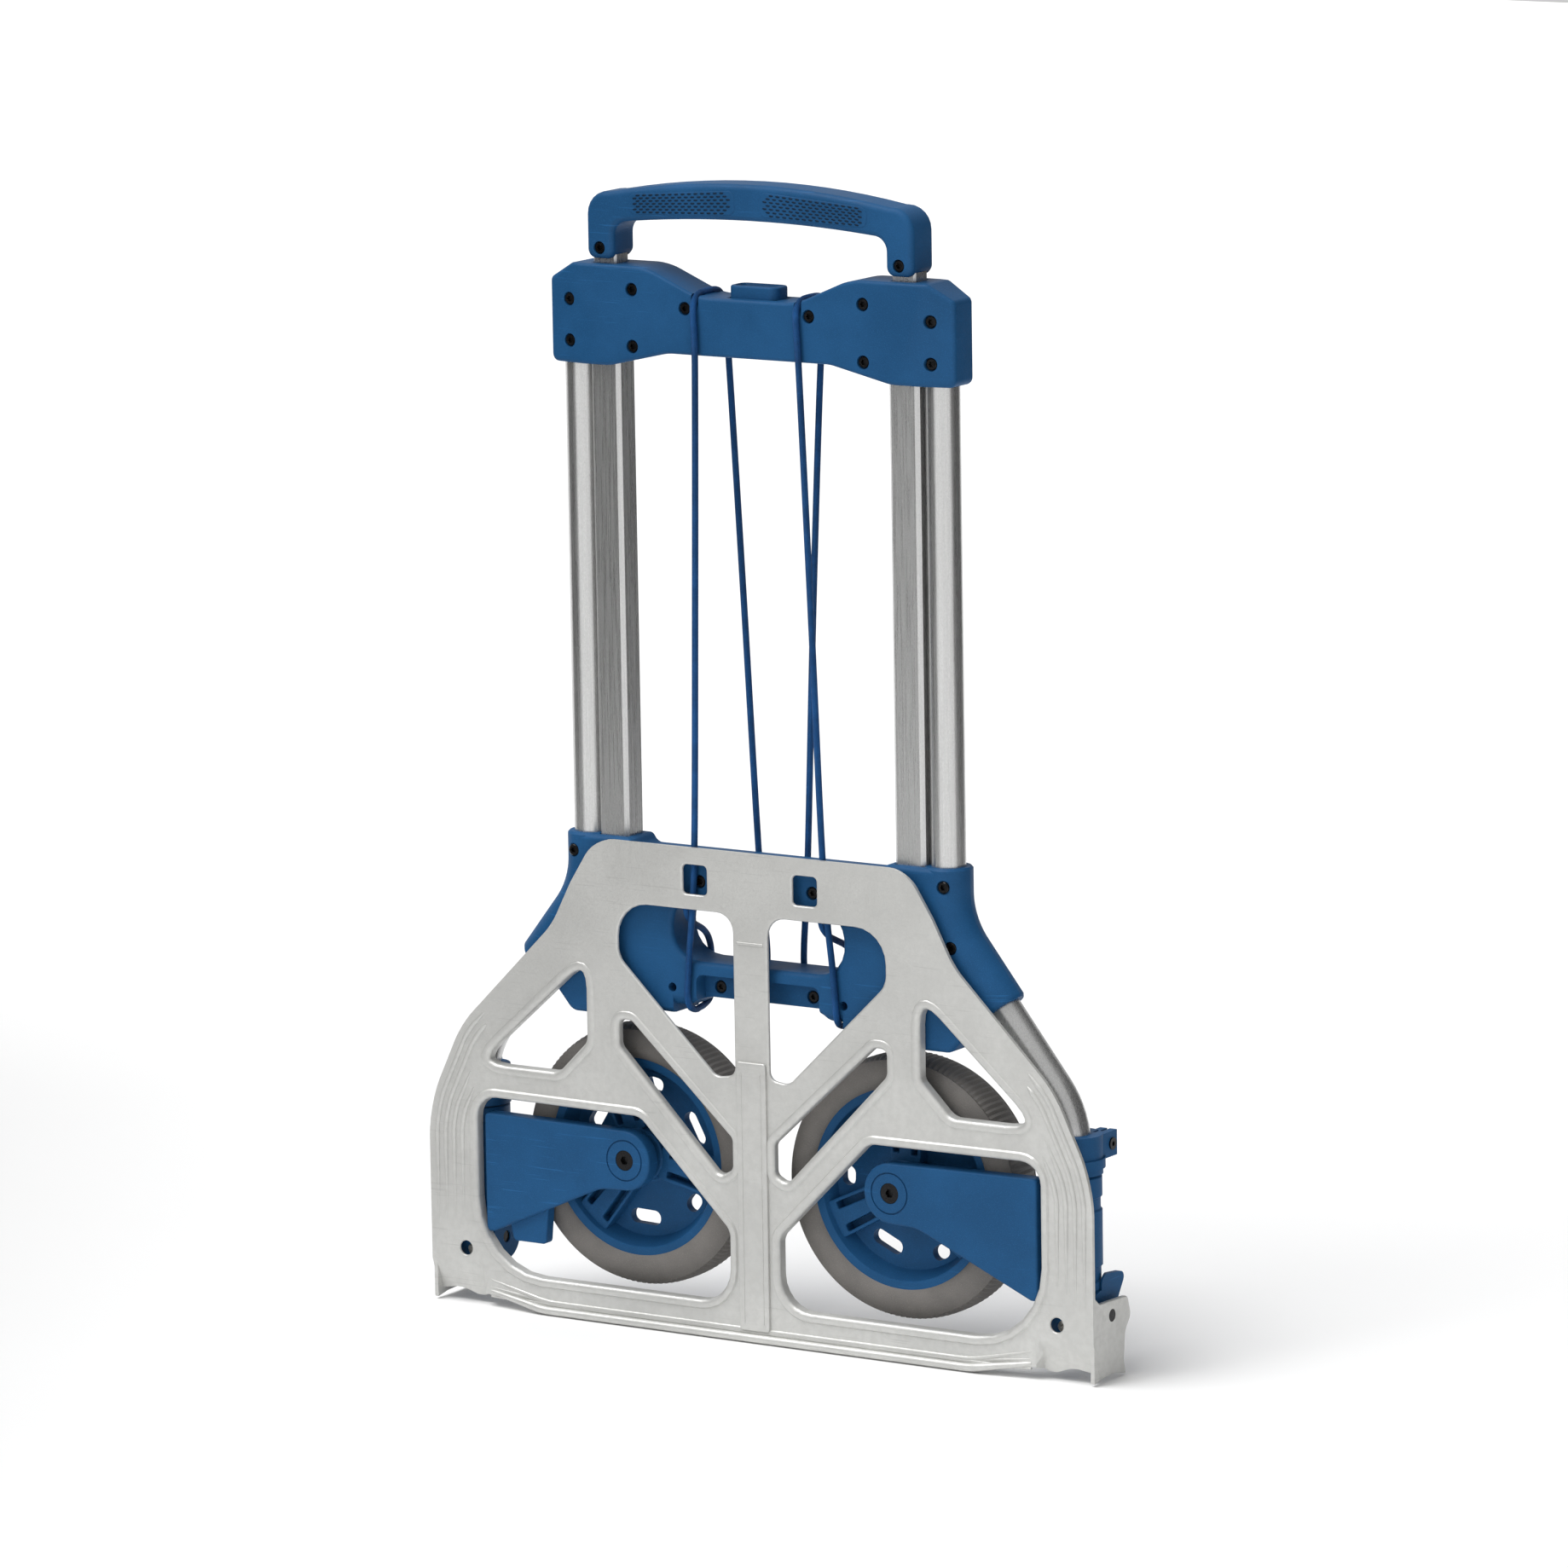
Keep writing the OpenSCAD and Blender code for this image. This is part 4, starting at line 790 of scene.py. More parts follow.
class TRUCK_OT_toe_plate(bpy.types.Operator):
    """Stamps the folding toe plate with its windows, flutes, beads and hinge lugs"""
    bl_idname = "truck.toe_plate"
    bl_label = "Toe plate"

    def execute(self, context):
        sizes = context.scene.truck_sizes
        piece("toe_plate_sheet", plate_sheet(sizes), "stamped_aluminium", "toe_plate", ["toe_plate"],
              sharp=50, wall=SHEET / 1000)
        rise = sizes.flute_rise * 1000
        ridges = []
        for path in [flute_path(6, 0.62), flute_path(12.5, 0.42), short_flute_path(19, 0.61),
                     short_flute_path(25.5, 0.45)]:
            for turn in (1, -1):
                points = [(turn * x, z) for x, z in open_path(path)]
                ridges.append(ridge(points, 4.4, rise, PLATE_FRONT))
        for z, dip, wide, tall in ((17.5, 11.0, 3.2, 1.1), (12.6, 6.4, 2.6, 0.9), (6.6, 1.6, 4.0, 1.2)):
            path = [(-203, z, 0), (-160, z - dip + 1.0, 60), (160, z - dip + 1.0, 60), (203, z, 0)]
            ridges.append(ridge(open_path(path), wide, tall, PLATE_FRONT))
        band = slab([(-11, 7, 2), (11, 7, 2), (11, 181, 2), (-11, 181, 2)], front=PLATE_FRONT - 1.9,
                    back=PLATE_FRONT + 1, round_front=0.8)
        marks = [slab([(-w, z - h, 0.8), (w, z - h, 0.8), (w, z + h, 0.8), (-w, z + h, 0.8)],
                      front=PLATE_FRONT - y, back=PLATE_FRONT + 0.5, round_front=0.5)
                 for w, h, z, y in ((5.5, 1.6, 105, 2.0), (9, 1.2, 176, 2.0), (10, 0.9, 257, 0.6))]
        grooves = [ridge([(x, 12), (x, 174)], 1.9, 1.0, PLATE_FRONT - 1.8) for x in (-7.2, 7.2)]
        sweep = [(-203, 9.6, 0), (-160, 2.8, 60), (160, 2.8, 60), (203, 9.6, 0)]
        bead = bar([(x, -22.4 if abs(x) > 202 else -26.4, z) for x, z in open_path(sweep)], 2.75, 0.6)
        detail = joined(*ridges, band, *marks, *grooves, bead)
        piece("toe_plate_beads", detail, "stamped_aluminium", "toe_plate")
        piece("toe_plate_lugs", joined(plate_ear(), flipped(plate_ear())), "stamped_aluminium", "toe_plate")
        return {"FINISHED"}


# ---- crosshead and yoke ----

HEAD = [(36, 664, 40), (76, 681, 40), (131, 681, 5), (149.4, 670.5, 4), (149.4, 617, 5), (104, 617, 30),
        (60, 627, 30)]
HEAD_SCREWS = [(45.8, 656.4), (85.4, 666.2), (85.4, 630.2), (TUBE_X, 657.7), (TUBE_X, 631.4)]
HALF_DEPTH = 15.6


def edge_seat(x0, x1, z, radius, up):
    """Cutters that round the front and back edges where a cord turns over them."""
    cutters = []
    for s in (-1, 1):
        block = box_solid(x0, x1, *sorted((s * (HALF_DEPTH - radius), s * (HALF_DEPTH + 2))),
                          *sorted((z - up * radius, z + up * 2)))
        bar = lathe([(0, x0 - 1), (radius, x0 - 1), (radius, x1 + 1), (0, x1 + 1)],
                    (0, s * (HALF_DEPTH - radius), z - up * radius), (1, 0, 0), 48)
        cutters.append(cut(block, [bar]))
    return cutters


# The frame tube's splay, the radius and top of its bend, the bend's sideways shift and the splayed stretch
SPLAY = math.radians(38)
BEND = 60.0
BEND_Z = 299
SHIFT = BEND * (1 - math.cos(SPLAY))
RUN = (FOOT_X - TUBE_X - 2 * SHIFT) / math.sin(SPLAY)


def tube_point(share):
    """A point (x, z) of the right frame tube's axis, that share down its splayed stretch."""
    return (TUBE_X + SHIFT + share * RUN * math.sin(SPLAY),
            BEND_Z - BEND * math.sin(SPLAY) - share * RUN * math.cos(SPLAY))


def tube_axis(top, share):
    """The right frame tube's axis from that height to that share of its splayed stretch."""
    angles = [SPLAY * k / 12 for k in range(1, 13)]
    bend = [(TUBE_X + BEND * (1 - math.cos(a)), BEND_Z - BEND * math.sin(a)) for a in angles]
    return [(x, 0, z) for x, z in [(TUBE_X, top), (TUBE_X, BEND_Z)] + bend + [tube_point(share)]]


def tube_cutter():
    """The space of the right frame tube."""
    return bar(tube_axis(690, 0.9), 11.0, 1.0, 8)


def head_half(sizes):
    """The crosshead's front shell."""
    bm = slab(doubled(HEAD), front=-HALF_DEPTH, back=0, round_front=sizes.shell_round * 1000)
    for x in (-124, 124):
        bmesh.ops.bisect_plane(bm, geom=bm.verts[:] + bm.edges[:] + bm.faces[:], plane_co=(x, 0, 0),
                               plane_no=(1, 0, 0))
    for v in bm.verts:
        if abs(v.co.x) > 124 and v.co.y < -5:
            v.co.y += 4.5 * (abs(v.co.x) - 124) / 25.4
    return bm


def head_cutters():
    """The spaces of the button, the bolts and the tubes, and the cords' seats."""
    cutters = [box_solid(-18.4, 18.4, -9.4, 9.4, 640, 690), box_solid(-70, 70, -12, 12, 632, 655)]
    for s in (-1, 1):
        cutters.append(box_solid(s * GUIDE_X - 11.05, s * GUIDE_X + 11.05, -10.05, 10.05, 600, 677))
        cutters.append(box_solid(s * GUIDE_X - 9.4, s * GUIDE_X + 9.4, -8.4, 8.4, 670, 700))
        cutters.append(lathe([(0, 600), (11.05, 600), (11.05, 672.2), (0, 672.2)], (s * TUBE_X, 0, 0),
                             (0, 0, 1), 48))
        cutters += edge_seat(s * 38 - 2.7, s * 38 + 2.7, 664, 9, 1)
    return cutters


def recess(x, z, y, radius=4.4):
    """A cutter for the round recess of a screw in the face at that y."""
    return rod(x, z, y - 4, y + 2.6, radius, 32)


class TRUCK_OT_crosshead(bpy.types.Operator):
    """Moulds the top crosshead's two shells and its screws"""
    bl_idname = "truck.crosshead"
    bl_label = "Crosshead"

    def execute(self, context):
        sizes = context.scene.truck_sizes
        holes = [recess(s * x, z, -HALF_DEPTH + (1.7 if x > 100 else 0)) for x, z in HEAD_SCREWS
                 for s in (-1, 1)]
        front = cut(head_half(sizes), head_cutters() + holes)
        back = cut(turned(head_half(sizes), Matrix.Scale(-1, 4, (0, 1, 0))), head_cutters())
        piece("crosshead_front_shell", front, "blue_plastic", "frame", ["crosshead_front"], sharp=30)
        piece("crosshead_back_shell", back, "blue_plastic", "frame", ["crosshead_back"], sharp=30)
        heads = [screw_head(s * x, z, -HALF_DEPTH + (2.4 if x > 100 else 0.7)) for x, z in HEAD_SCREWS
                 for s in (-1, 1)]
        piece("crosshead_screw_heads", joined(*heads), "black_steel", "frame", ["crosshead_screws"])
        return {"FINISHED"}


class TRUCK_OT_release_button(bpy.types.Operator):
    """Moulds the release button in the crosshead's saddle"""
    bl_idname = "truck.release_button"
    bl_label = "Release button"

    def execute(self, context):
        low, high = millimetres("release_button")
        bm = box_solid(-18, 18, -9, 9, high.z - 22, high.z)
        upright = [e for e in bm.edges if abs(e.verts[0].co.z - e.verts[1].co.z) > 1]
        bmesh.ops.bevel(bm, geom=upright, offset=6, offset_type="OFFSET", segments=5, profile=0.5,
                        affect="EDGES", material=-1)
        top = max(bm.faces, key=lambda f: f.calc_center_median().z)
        bmesh.ops.bevel(bm, geom=list(top.edges), offset=1.4, offset_type="OFFSET", segments=3, profile=0.5,
                        affect="EDGES", material=-1)
        top = max(bm.faces, key=lambda f: f.calc_center_median().z + f.calc_area() / 1000)
        bmesh.ops.inset_region(bm, faces=[top], use_boundary=True, use_even_offset=True, thickness=1.2)
        bmesh.ops.inset_region(bm, faces=[top], use_boundary=True, use_even_offset=True, thickness=0.8)
        bmesh.ops.translate(bm, verts=top.verts, vec=(0, 0, -1.4))
        low_part = box_solid(-24, 24, -10, 10, low.z, high.z - 20, 0.6)
        piece("release_button_cap", joined(bm, low_part), "blue_plastic", "button", ["release_button"])
        return {"FINISHED"}


# Share of the frame tube's splayed stretch where the yoke's sleeve ends
SLEEVE_END = 0.42


def yoke_corners():
    """The yoke's right half without the sleeve round the frame tube."""
    knee = BEND_Z - BEND * math.tan(SPLAY / 2)
    (ax, az), c, t = tube_point(SLEEVE_END - 0.02), math.cos(SPLAY), math.sin(SPLAY)
    return [(91.5, 309, 6), (95.5, 315, 4), (136, 315, 4.5), (136, knee + 2.6 * math.tan(SPLAY / 2), 57),
            (ax + 2.6 * c, az + 2.6 * t, 4.5), (ax - 14 * c, az - 14 * t, 4.5), (142, 199, 8), (118, 199, 20),
            (92, 206, 20), (62, 205, 14), (45, 216, 14)]


OVAL = [(-66, 240, 20), (66, 240, 20), (62, 281, 17), (-62, 281, 17)]
YOKE_SCREWS = [(138, 304), (143, 266), (42, 292)]


def yoke_half():
    """The yoke's front shell with the sleeves round both frame tubes, before it is cut."""
    plate = slab(doubled(yoke_corners()), [OVAL], front=-HALF_DEPTH, back=0, round_front=3.6, steps=4)
    axis = tube_axis(315.4, SLEEVE_END)
    axis[1:1] = [(TUBE_X, 0, 314)]
    (ax, az), (bx, bz) = tube_point(SLEEVE_END - 0.02), tube_point(SLEEVE_END)
    axis[-1:] = [(ax, 0, az), (bx, 0, bz)]
    sleeve = bar(axis, 15.5, 0.92, 12)
    for v in sleeve.verts:
        v.co.y = min(v.co.y, 0)
    return joined(plate, sleeve, flipped(sleeve.copy()))


def yoke_cutters():
    """The spaces of the tubes, the cords' notches and the holes in the lower bar."""
    cutters = [tube_cutter(), flipped(tube_cutter())]
    for s in (-1, 1):
        cutters.append(box_solid(s * GUIDE_X - 11.05, s * GUIDE_X + 11.05, -10.05, 10.05, 262, 330))
        cutters.append(box_solid(*sorted((s * 47.5, s * 63.5)), -20, 20, 190, 210))
        cutters += edge_seat(*sorted((s * 47.5, s * 63.5)), 210, 8.1, -1)
        cutters.append(rod(s * 64, 222, -20, 20, 3))
    return cutters


class TRUCK_OT_yoke(bpy.types.Operator):
    """Moulds the lower yoke's two shells with their oval opening, and its screws"""
    bl_idname = "truck.yoke"
    bl_label = "Yoke"

    def execute(self, context):
        holes = [recess(s * x, z, -HALF_DEPTH) for x, z in YOKE_SCREWS for s in (-1, 1)]
        holes += [recess(s * 34.6, 223, -HALF_DEPTH + 11) for s in (-1, 1)]
        ledge = slab([(-46, 212, 3), (46, 212, 3), (46, 232, 5), (-46, 232, 5)], front=-20,
                     back=-HALF_DEPTH + 11, round_front=0.5)
        front = cut(yoke_half(), yoke_cutters() + holes + [ledge])
        back = cut(turned(yoke_half(), Matrix.Scale(-1, 4, (0, 1, 0))), yoke_cutters())
        piece("yoke_front_shell", front, "blue_plastic", "frame", ["yoke_front"], sharp=32)
        piece("yoke_back_shell", back, "blue_plastic", "frame", ["yoke_back"], sharp=32)
        heads = [screw_head(s * x, z, -HALF_DEPTH + 0.7) for x, z in YOKE_SCREWS for s in (-1, 1)]
        heads += [screw_head(s * 34.6, 223, -HALF_DEPTH + 11.6) for s in (-1, 1)]
        piece("yoke_screw_heads", joined(*heads), "black_steel", "frame", ["yoke_screws"])
        return {"FINISHED"}


# ---- handle ----

def grip_corners(low):
    """The grip's outline: a shallow arch on two legs."""
    def arch(x0, x1, top, drop, reach):
        return [(x0 + (x1 - x0) * k / 14, top - drop * ((x0 + (x1 - x0) * k / 14) / reach) ** 2, 0)
                for k in range(15)]
    outer = [(-120.5, low, 6), (-120.5, 727.3, 15)] + arch(-103.5, 103.5, 736, 9, 102)
    outer += [(120.5, 727.3, 15), (120.5, low, 6)]
    inner = [(100.5, low, 6), (100.5, 707.5, 9)] + arch(88, -88, 713, 4, 85)
    inner += [(-100.5, 707.5, 9), (-100.5, low, 6)]
    return outer + inner


def pad_ridges(columns, rows=7):
    """Short ridges in staggered rows that spread over the right-hand pad, which narrows outwards."""
    dashes = []
    for row in range(rows):
        for column in range(columns):
            x = 13.5 + 72.0 * (column + (0.5 if row % 2 else 0.0)) / columns
            share = (x - 9) / 79
            low_z, high_z = 717.6 - 2.8 * share, 730.6 - 5.6 * share
            z = low_z + (high_z - low_z) * row / (rows - 1)
            if x > 85 or (row in (0, rows - 1) and (x < 16 or x > 82)):
                continue
            dash = bmesh.new()
            tilt = Matrix.Rotation(math.radians(3 + x * 0.07), 4, "Y")
            bmesh.ops.create_uvsphere(dash, u_segments=8, v_segments=5, radius=1,
                                      matrix=Matrix.Translation((x, -13.25, z)) @ tilt @
                                      Matrix.Diagonal((1.75, 0.5, 0.62, 1)))
            dashes.append(dash)
    return joined(*dashes)


class TRUCK_OT_handle(bpy.types.Operator):
    """Moulds the carrying grip, its two ridged pads and its screws"""
    bl_idname = "truck.handle"
    bl_label = "Handle"

    def execute(self, context):
        sizes = context.scene.truck_sizes
        low = millimetres("handle_grip")[0].z
        body = slab(grip_corners(low), front=-13, back=13, round_front=sizes.grip_round * 1000,
                    round_back=sizes.grip_round * 1000 * 0.9, steps=4)
        screw_z = 691
        sockets = [recess(s * GUIDE_X, screw_z, -13, 4.2) for s in (-1, 1)]
        tubes = [box_solid(s * GUIDE_X - 8.9, s * GUIDE_X + 8.9, -7.9, 7.9, low - 5, low + 20)
                 for s in (-1, 1)]
        piece("handle_grip_body", cut(body, sockets + tubes), "blue_plastic", "handle", ["handle_grip"],
              sharp=34)
        heads = [screw_head(s * GUIDE_X, screw_z, -12.4) for s in (-1, 1)]
        piece("handle_screw_heads", joined(*heads), "black_steel", "handle", ["handle_screws"])
        for side, sign in SIDES:
            corners = [(9, 716.4, 5), (88, 713.4, 5), (88, 726.2, 5), (9, 732, 5)]
            pad = slab(corners, front=-13.3, back=-12, round_front=0.4)
            ridges = pad_ridges(sizes.pad_columns)
            if sign < 0:
                pad, ridges = flipped(pad), flipped(ridges)
            piece(f"{side}_grip_pad_body", pad, "blue_plastic", "handle", [f"{side}_grip_pad"])
            # The ridges take the near-black grip finish, which is painted shade for the bumps' shadows.
            piece(f"{side}_grip_pad_ridges", ridges, "grip_texture", "handle")
        return {"FINISHED"}


# ---- wheels ----

def arm_shape(lug_too):
    """The right-hand wheel arm: a flat blade with a round eye, on a barrel round the frame tube."""
    blade = slab([(80.5, 125.6, 18.9), (207, 127, 3), (207, 49, 3), (202, 49, 4), (119, 86, 26),
                  (80.5, 87.6, 18.9)], front=-21.5, back=-11, round_front=1.6, round_back=0.8)
    groove = lathe([(12.6, -23), (13.6, -23), (13.6, -20.7), (12.6, -20.7)], (WHEEL.x, 0, WHEEL.z),
                   (0, 1, 0), 64, True)
    eye = rod(WHEEL.x, WHEEL.z, -23, -17.5, 6.7)
    blade = cut(blade, [groove, eye])
    lug = slab([(160, 76, 2), (192, 62, 2), (188, 44, 3), (163, 44, 3)], front=-18.5, back=-11.2,
               round_front=1)
    web = box_solid(197, 222, -15, -11.3, 50.5, 118.5, 0.8)
    boss = lathe([(0, -11.5), (9.5, -11.5), (9.5, -5.4), (0, -5.4)], (WHEEL.x, 0, WHEEL.z), (0, 1, 0), 48)
    barrel = lathe([(11.2, 50), (16.4, 50), (17.3, 50.9), (17.3, 61), (16.2, 62), (16.2, 70), (17.3, 71),
                    (17.3, 106), (16.2, 107), (16.2, 114), (17.3, 115), (17.3, 127.1), (16.4, 128),
                    (11.2, 128)],
                   (FOOT_X, 0, 0), (0, 0, 1), 64, True)
    parts = [blade, web, boss, barrel] + ([lug] if lug_too else [])
    return joined(*parts)


def rim_shape(turn):
    """A wheel's rim about Y at the origin: lip, dished web with lens-shaped holes, and slotted spokes."""
    half = [(13, -13), (17, -13), (18, -12), (18, -4), (20, -3), (50, -3), (54, -4), (58.4, -13.2),
            (59.2, -14.6), (60.4, -15), (64.5, -15)]
    profile = half + [(r, -a) for r, a in reversed(half)]
    disc = lathe(profile, (0, 0, 0), (0, 1, 0), 96, True)
    lenses, spokes = [], []
    for k in range(3):
        spin = Matrix.Rotation(-math.radians(turn + 120 * k), 4, "Y")
        for after, r, half in ((38, 42.0, 12.0), (91, 46.0, 7.0)):
            hole = slab([(r - 4.8, 1.2 - half, 4.6), (r + 4.8, -half, 4.6), (r + 4.8, half, 4.6),
                         (r - 4.8, half - 1.2, 4.6)], front=-16, back=16, round_front=0.5)
            lenses.append(turned(hole, Matrix.Rotation(-math.radians(turn + after + 120 * k), 4, "Y")))
        spoke = slab([(16, -11, 2), (58, -12.5, 2), (58, 12.5, 2), (16, 11, 2)],
                     [[(22, -8.8, 1.2), (52, -10.2, 1.2), (52, -5.4, 1.2), (22, -4.4, 1.2)],
                      [(22, 4.4, 1.2), (52, 5.4, 1.2), (52, 10.2, 1.2), (22, 8.8, 1.2)]],
                     front=-12, back=12, round_front=0.9, round_back=0.9)
        spokes.append(turned(spoke, spin))
    return joined(cut(disc, lenses), *spokes)


def tyre_shape(teeth):
    """A tyre about Y at the origin, with fine teeth round its tread."""
    half = [(64.5, -15), (66, -16.2), (69.5, -17), (74, -16.7), (78, -15.8), (81.2, -14.4), (82.4, -13.8),
            (82.6, -12.6), (83.9, -10.6), (84.8, -7), (85, -3)]
    profile = half + [(r, -a) for r, a in reversed(half)]
    bm = lathe(profile, (0, 0, 0), (0, 1, 0), teeth * 2, True)
    step = math.pi / teeth
    for v in bm.verts:
        radius = math.hypot(v.co.x, v.co.z)
        if radius > 82.5:
            k = round(math.atan2(v.co.z, v.co.x) / step)
            if k % 2:
                shrunk = (radius - 0.75) / radius
                v.co.x *= shrunk
                v.co.z *= shrunk
    return bm


class TRUCK_OT_wheels(bpy.types.Operator):
    """Moulds the wheel arms, rims and tyres"""
    bl_idname = "truck.wheels"
    bl_label = "Wheels"

    def execute(self, context):
        teeth = context.scene.truck_sizes.tread_teeth
        for side, sign in SIDES:
            arm = arm_shape(False) if sign > 0 else flipped(arm_shape(True))
            piece(f"{side}_arm_blade", arm, "blue_plastic", f"{side}_arm", [f"{side}_wheel_arm"], sharp=34)
            place = Matrix.Translation((sign * WHEEL.x, WHEEL.y, WHEEL.z))
            rim = turned(rim_shape(110 if sign < 0 else 87), place)
            piece(f"{side}_rim_disc", rim, "blue_plastic", f"{side}_wheel", [f"{side}_rim"], sharp=34)
            tyre = turned(tyre_shape(teeth), place)
            piece(f"{side}_tyre_rubber", tyre, "grey_tyre", f"{side}_wheel", [f"{side}_tyre"], sharp=30)
        return {"FINISHED"}


# ---- cords ----

RIGHT_ROUTE = [(14, 18.1, 236), (14, 18.1, 250), (18, 18.1, 310), (25, 18.1, 470), (33, 18.1, 620),
               (37, 18.1, 650), (38, 17.4, 658.7), (38, 13.6, 664.2), (38, 7, 666.4), (38, -7, 666.4),
               (38, -13.6, 664.2), (38, -17.4, 658.7), (38.4, -18.1, 650), (40, -18.1, 620),
               (46, -18.1, 470), (52, -18.1, 310), (58, -18.1, 245), (59.6, -18.1, 226),
               (60, -18.1, 218), (59.6, -15, 210.5), (58.8, -7.5, 207.4), (57, 0, 207.2),
               (55.4, 7.5, 207.4), (54.6, 15, 210.5), (54.4, 18.1, 218), (54, 18.1, 236),
               (53.4, 16.9, 244.5), (52.6, 12.5, 251.5), (51.8, 6, 256.6), (51, -2, 260.5),
               (50.4, -10, 264.6), (49.8, -16, 270.6), (49.6, -18.1, 277), (49.6, -18.1, 281)]
LEFT_ROUTE = [(-14, 18.1, 236), (-14, 18.1, 250), (-19, 18.1, 310), (-27, 18.1, 470), (-35, 18.1, 620),
              (-37.6, 18.1, 650), (-38, 17.4, 658.7), (-38, 13.6, 664.2), (-38, 7, 666.4),
              (-38, -7, 666.4), (-38, -13.6, 664.2), (-38, -17.4, 658.7), (-37.6, -18.1, 650),
              (-37, -18.1, 620), (-40, -18.1, 470), (-44, -18.1, 310), (-49, -18.1, 245),
              (-50.6, -18.1, 226), (-51, -18.1, 218), (-51.3, -15, 210.5), (-51.8, -7.5, 207.4),
              (-53.6, 0, 207.2), (-55.2, 7.5, 207.4), (-55.8, 15, 210.5), (-56, 18.1, 218),
              (-56, 18.1, 236), (-55.8, 16.9, 244.5), (-55, 12.5, 251.5), (-54, 6, 256.6),
              (-53, -2, 260.5), (-52.4, -10, 264.6), (-51.6, -16, 270.6), (-51, -18.1, 277),
              (-50.8, -18.1, 281)]
CORD_D = 4.2


def smoothed(route, steps=6):
    """Points on a smooth curve through the route."""
    p = [Vector(q) for q in route]
    points = []
    for i in range(len(p) - 1):
        a, b, c, d = p[max(i - 1, 0)], p[i], p[i + 1], p[min(i + 2, len(p) - 1)]
        for k in range(steps):
            t = k / steps
            points.append(0.5 * (2 * b + (c - a) * t + (2 * a - 5 * b + 4 * c - d) * t * t
                                 + (3 * b - a - 3 * c + d) * t ** 3))
    return points + [p[-1]]


class TRUCK_OT_cords(bpy.types.Operator):
    """Lays the two elastic cords from their anchors over the crosshead to the yoke"""
    bl_idname = "truck.cords"
    bl_label = "Cords"

    def execute(self, context):
        for side, route in (("left", LEFT_ROUTE), ("right", RIGHT_ROUTE)):
            path = [q / 1000 for q in smoothed(route)]
            mesh = line_mesh(path, CORD_D / 2000, sides=4)
            mesh.name = f"{side}_elastic_cord"
            mesh.shade_smooth()
            mesh.materials.clear()
            mesh.materials.append(finish("elastic_cord"))
            cord = bpy.data.objects.new(f"{side}_elastic_cord", mesh)
            context.scene.collection.objects.link(cord)
            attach(cord, "frame")
            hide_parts(f"{side}_cord")
        return {"FINISHED"}


# ---- finishes and stage ----

class TRUCK_OT_finishes(bpy.types.Operator):
    """Makes the finishes and gives them to the CAD parts that stay as they are"""
    bl_idname = "truck.finishes"
    bl_label = "Finishes"

    def execute(self, context):
        colours = context.scene.truck_colours
        groups = {"cloud": build_cloud(), "grain": build_moulded_grain(), "scratches": build_scratches(),
                  "drawn": build_drawn_lines(), "braid": build_braid()}
        blue, black = tuple(colours.plastic), tuple(colours.black)
        made = {
            "aluminium_tube": make_tube_metal(groups, colours),
            "stamped_aluminium": make_plate_metal(groups, colours),
            "blue_plastic": make_plastic(groups, "blue_plastic", blue),
            # The grip pads' ridges are painted near-black: painted shade that stands in for the shadows of
            # the little bumps.
            "grip_texture": make_plastic(groups, "grip_texture", shade(blue, 0.22), 1400.0),
            "elastic_cord": make_cord_cover(groups, colours),
            "grey_tyre": make_rubber(groups, colours),
            "black_plastic": make_plastic(groups, "black_plastic", shade(black, 2.0)),
            "black_steel": make_metal(groups, "black_steel", black, 0.7, 0.24, 0.42),
            "bright_steel": make_metal(groups, "bright_steel", (0.62, 0.61, 0.58), 0.95, 0.22, 0.36),
        }
        wanted = {n: m["slot"] for m in frame["record"]["materials"] for n in m.get("nodes", [])}
        for name, obj in frame["nodes"].items():
            slot = wanted.get(name) or (obj.data.materials[0].name if obj.data.materials else "blue_plastic")
            found = next((made[k] for k in made if slot.startswith(k)), None)
            if found is None:
                raise RuntimeError(f"no finish for {name}, whose slot is {slot}")
            for i in range(len(obj.data.materials)):
                obj.data.materials[i] = found
        return {"FINISHED"}


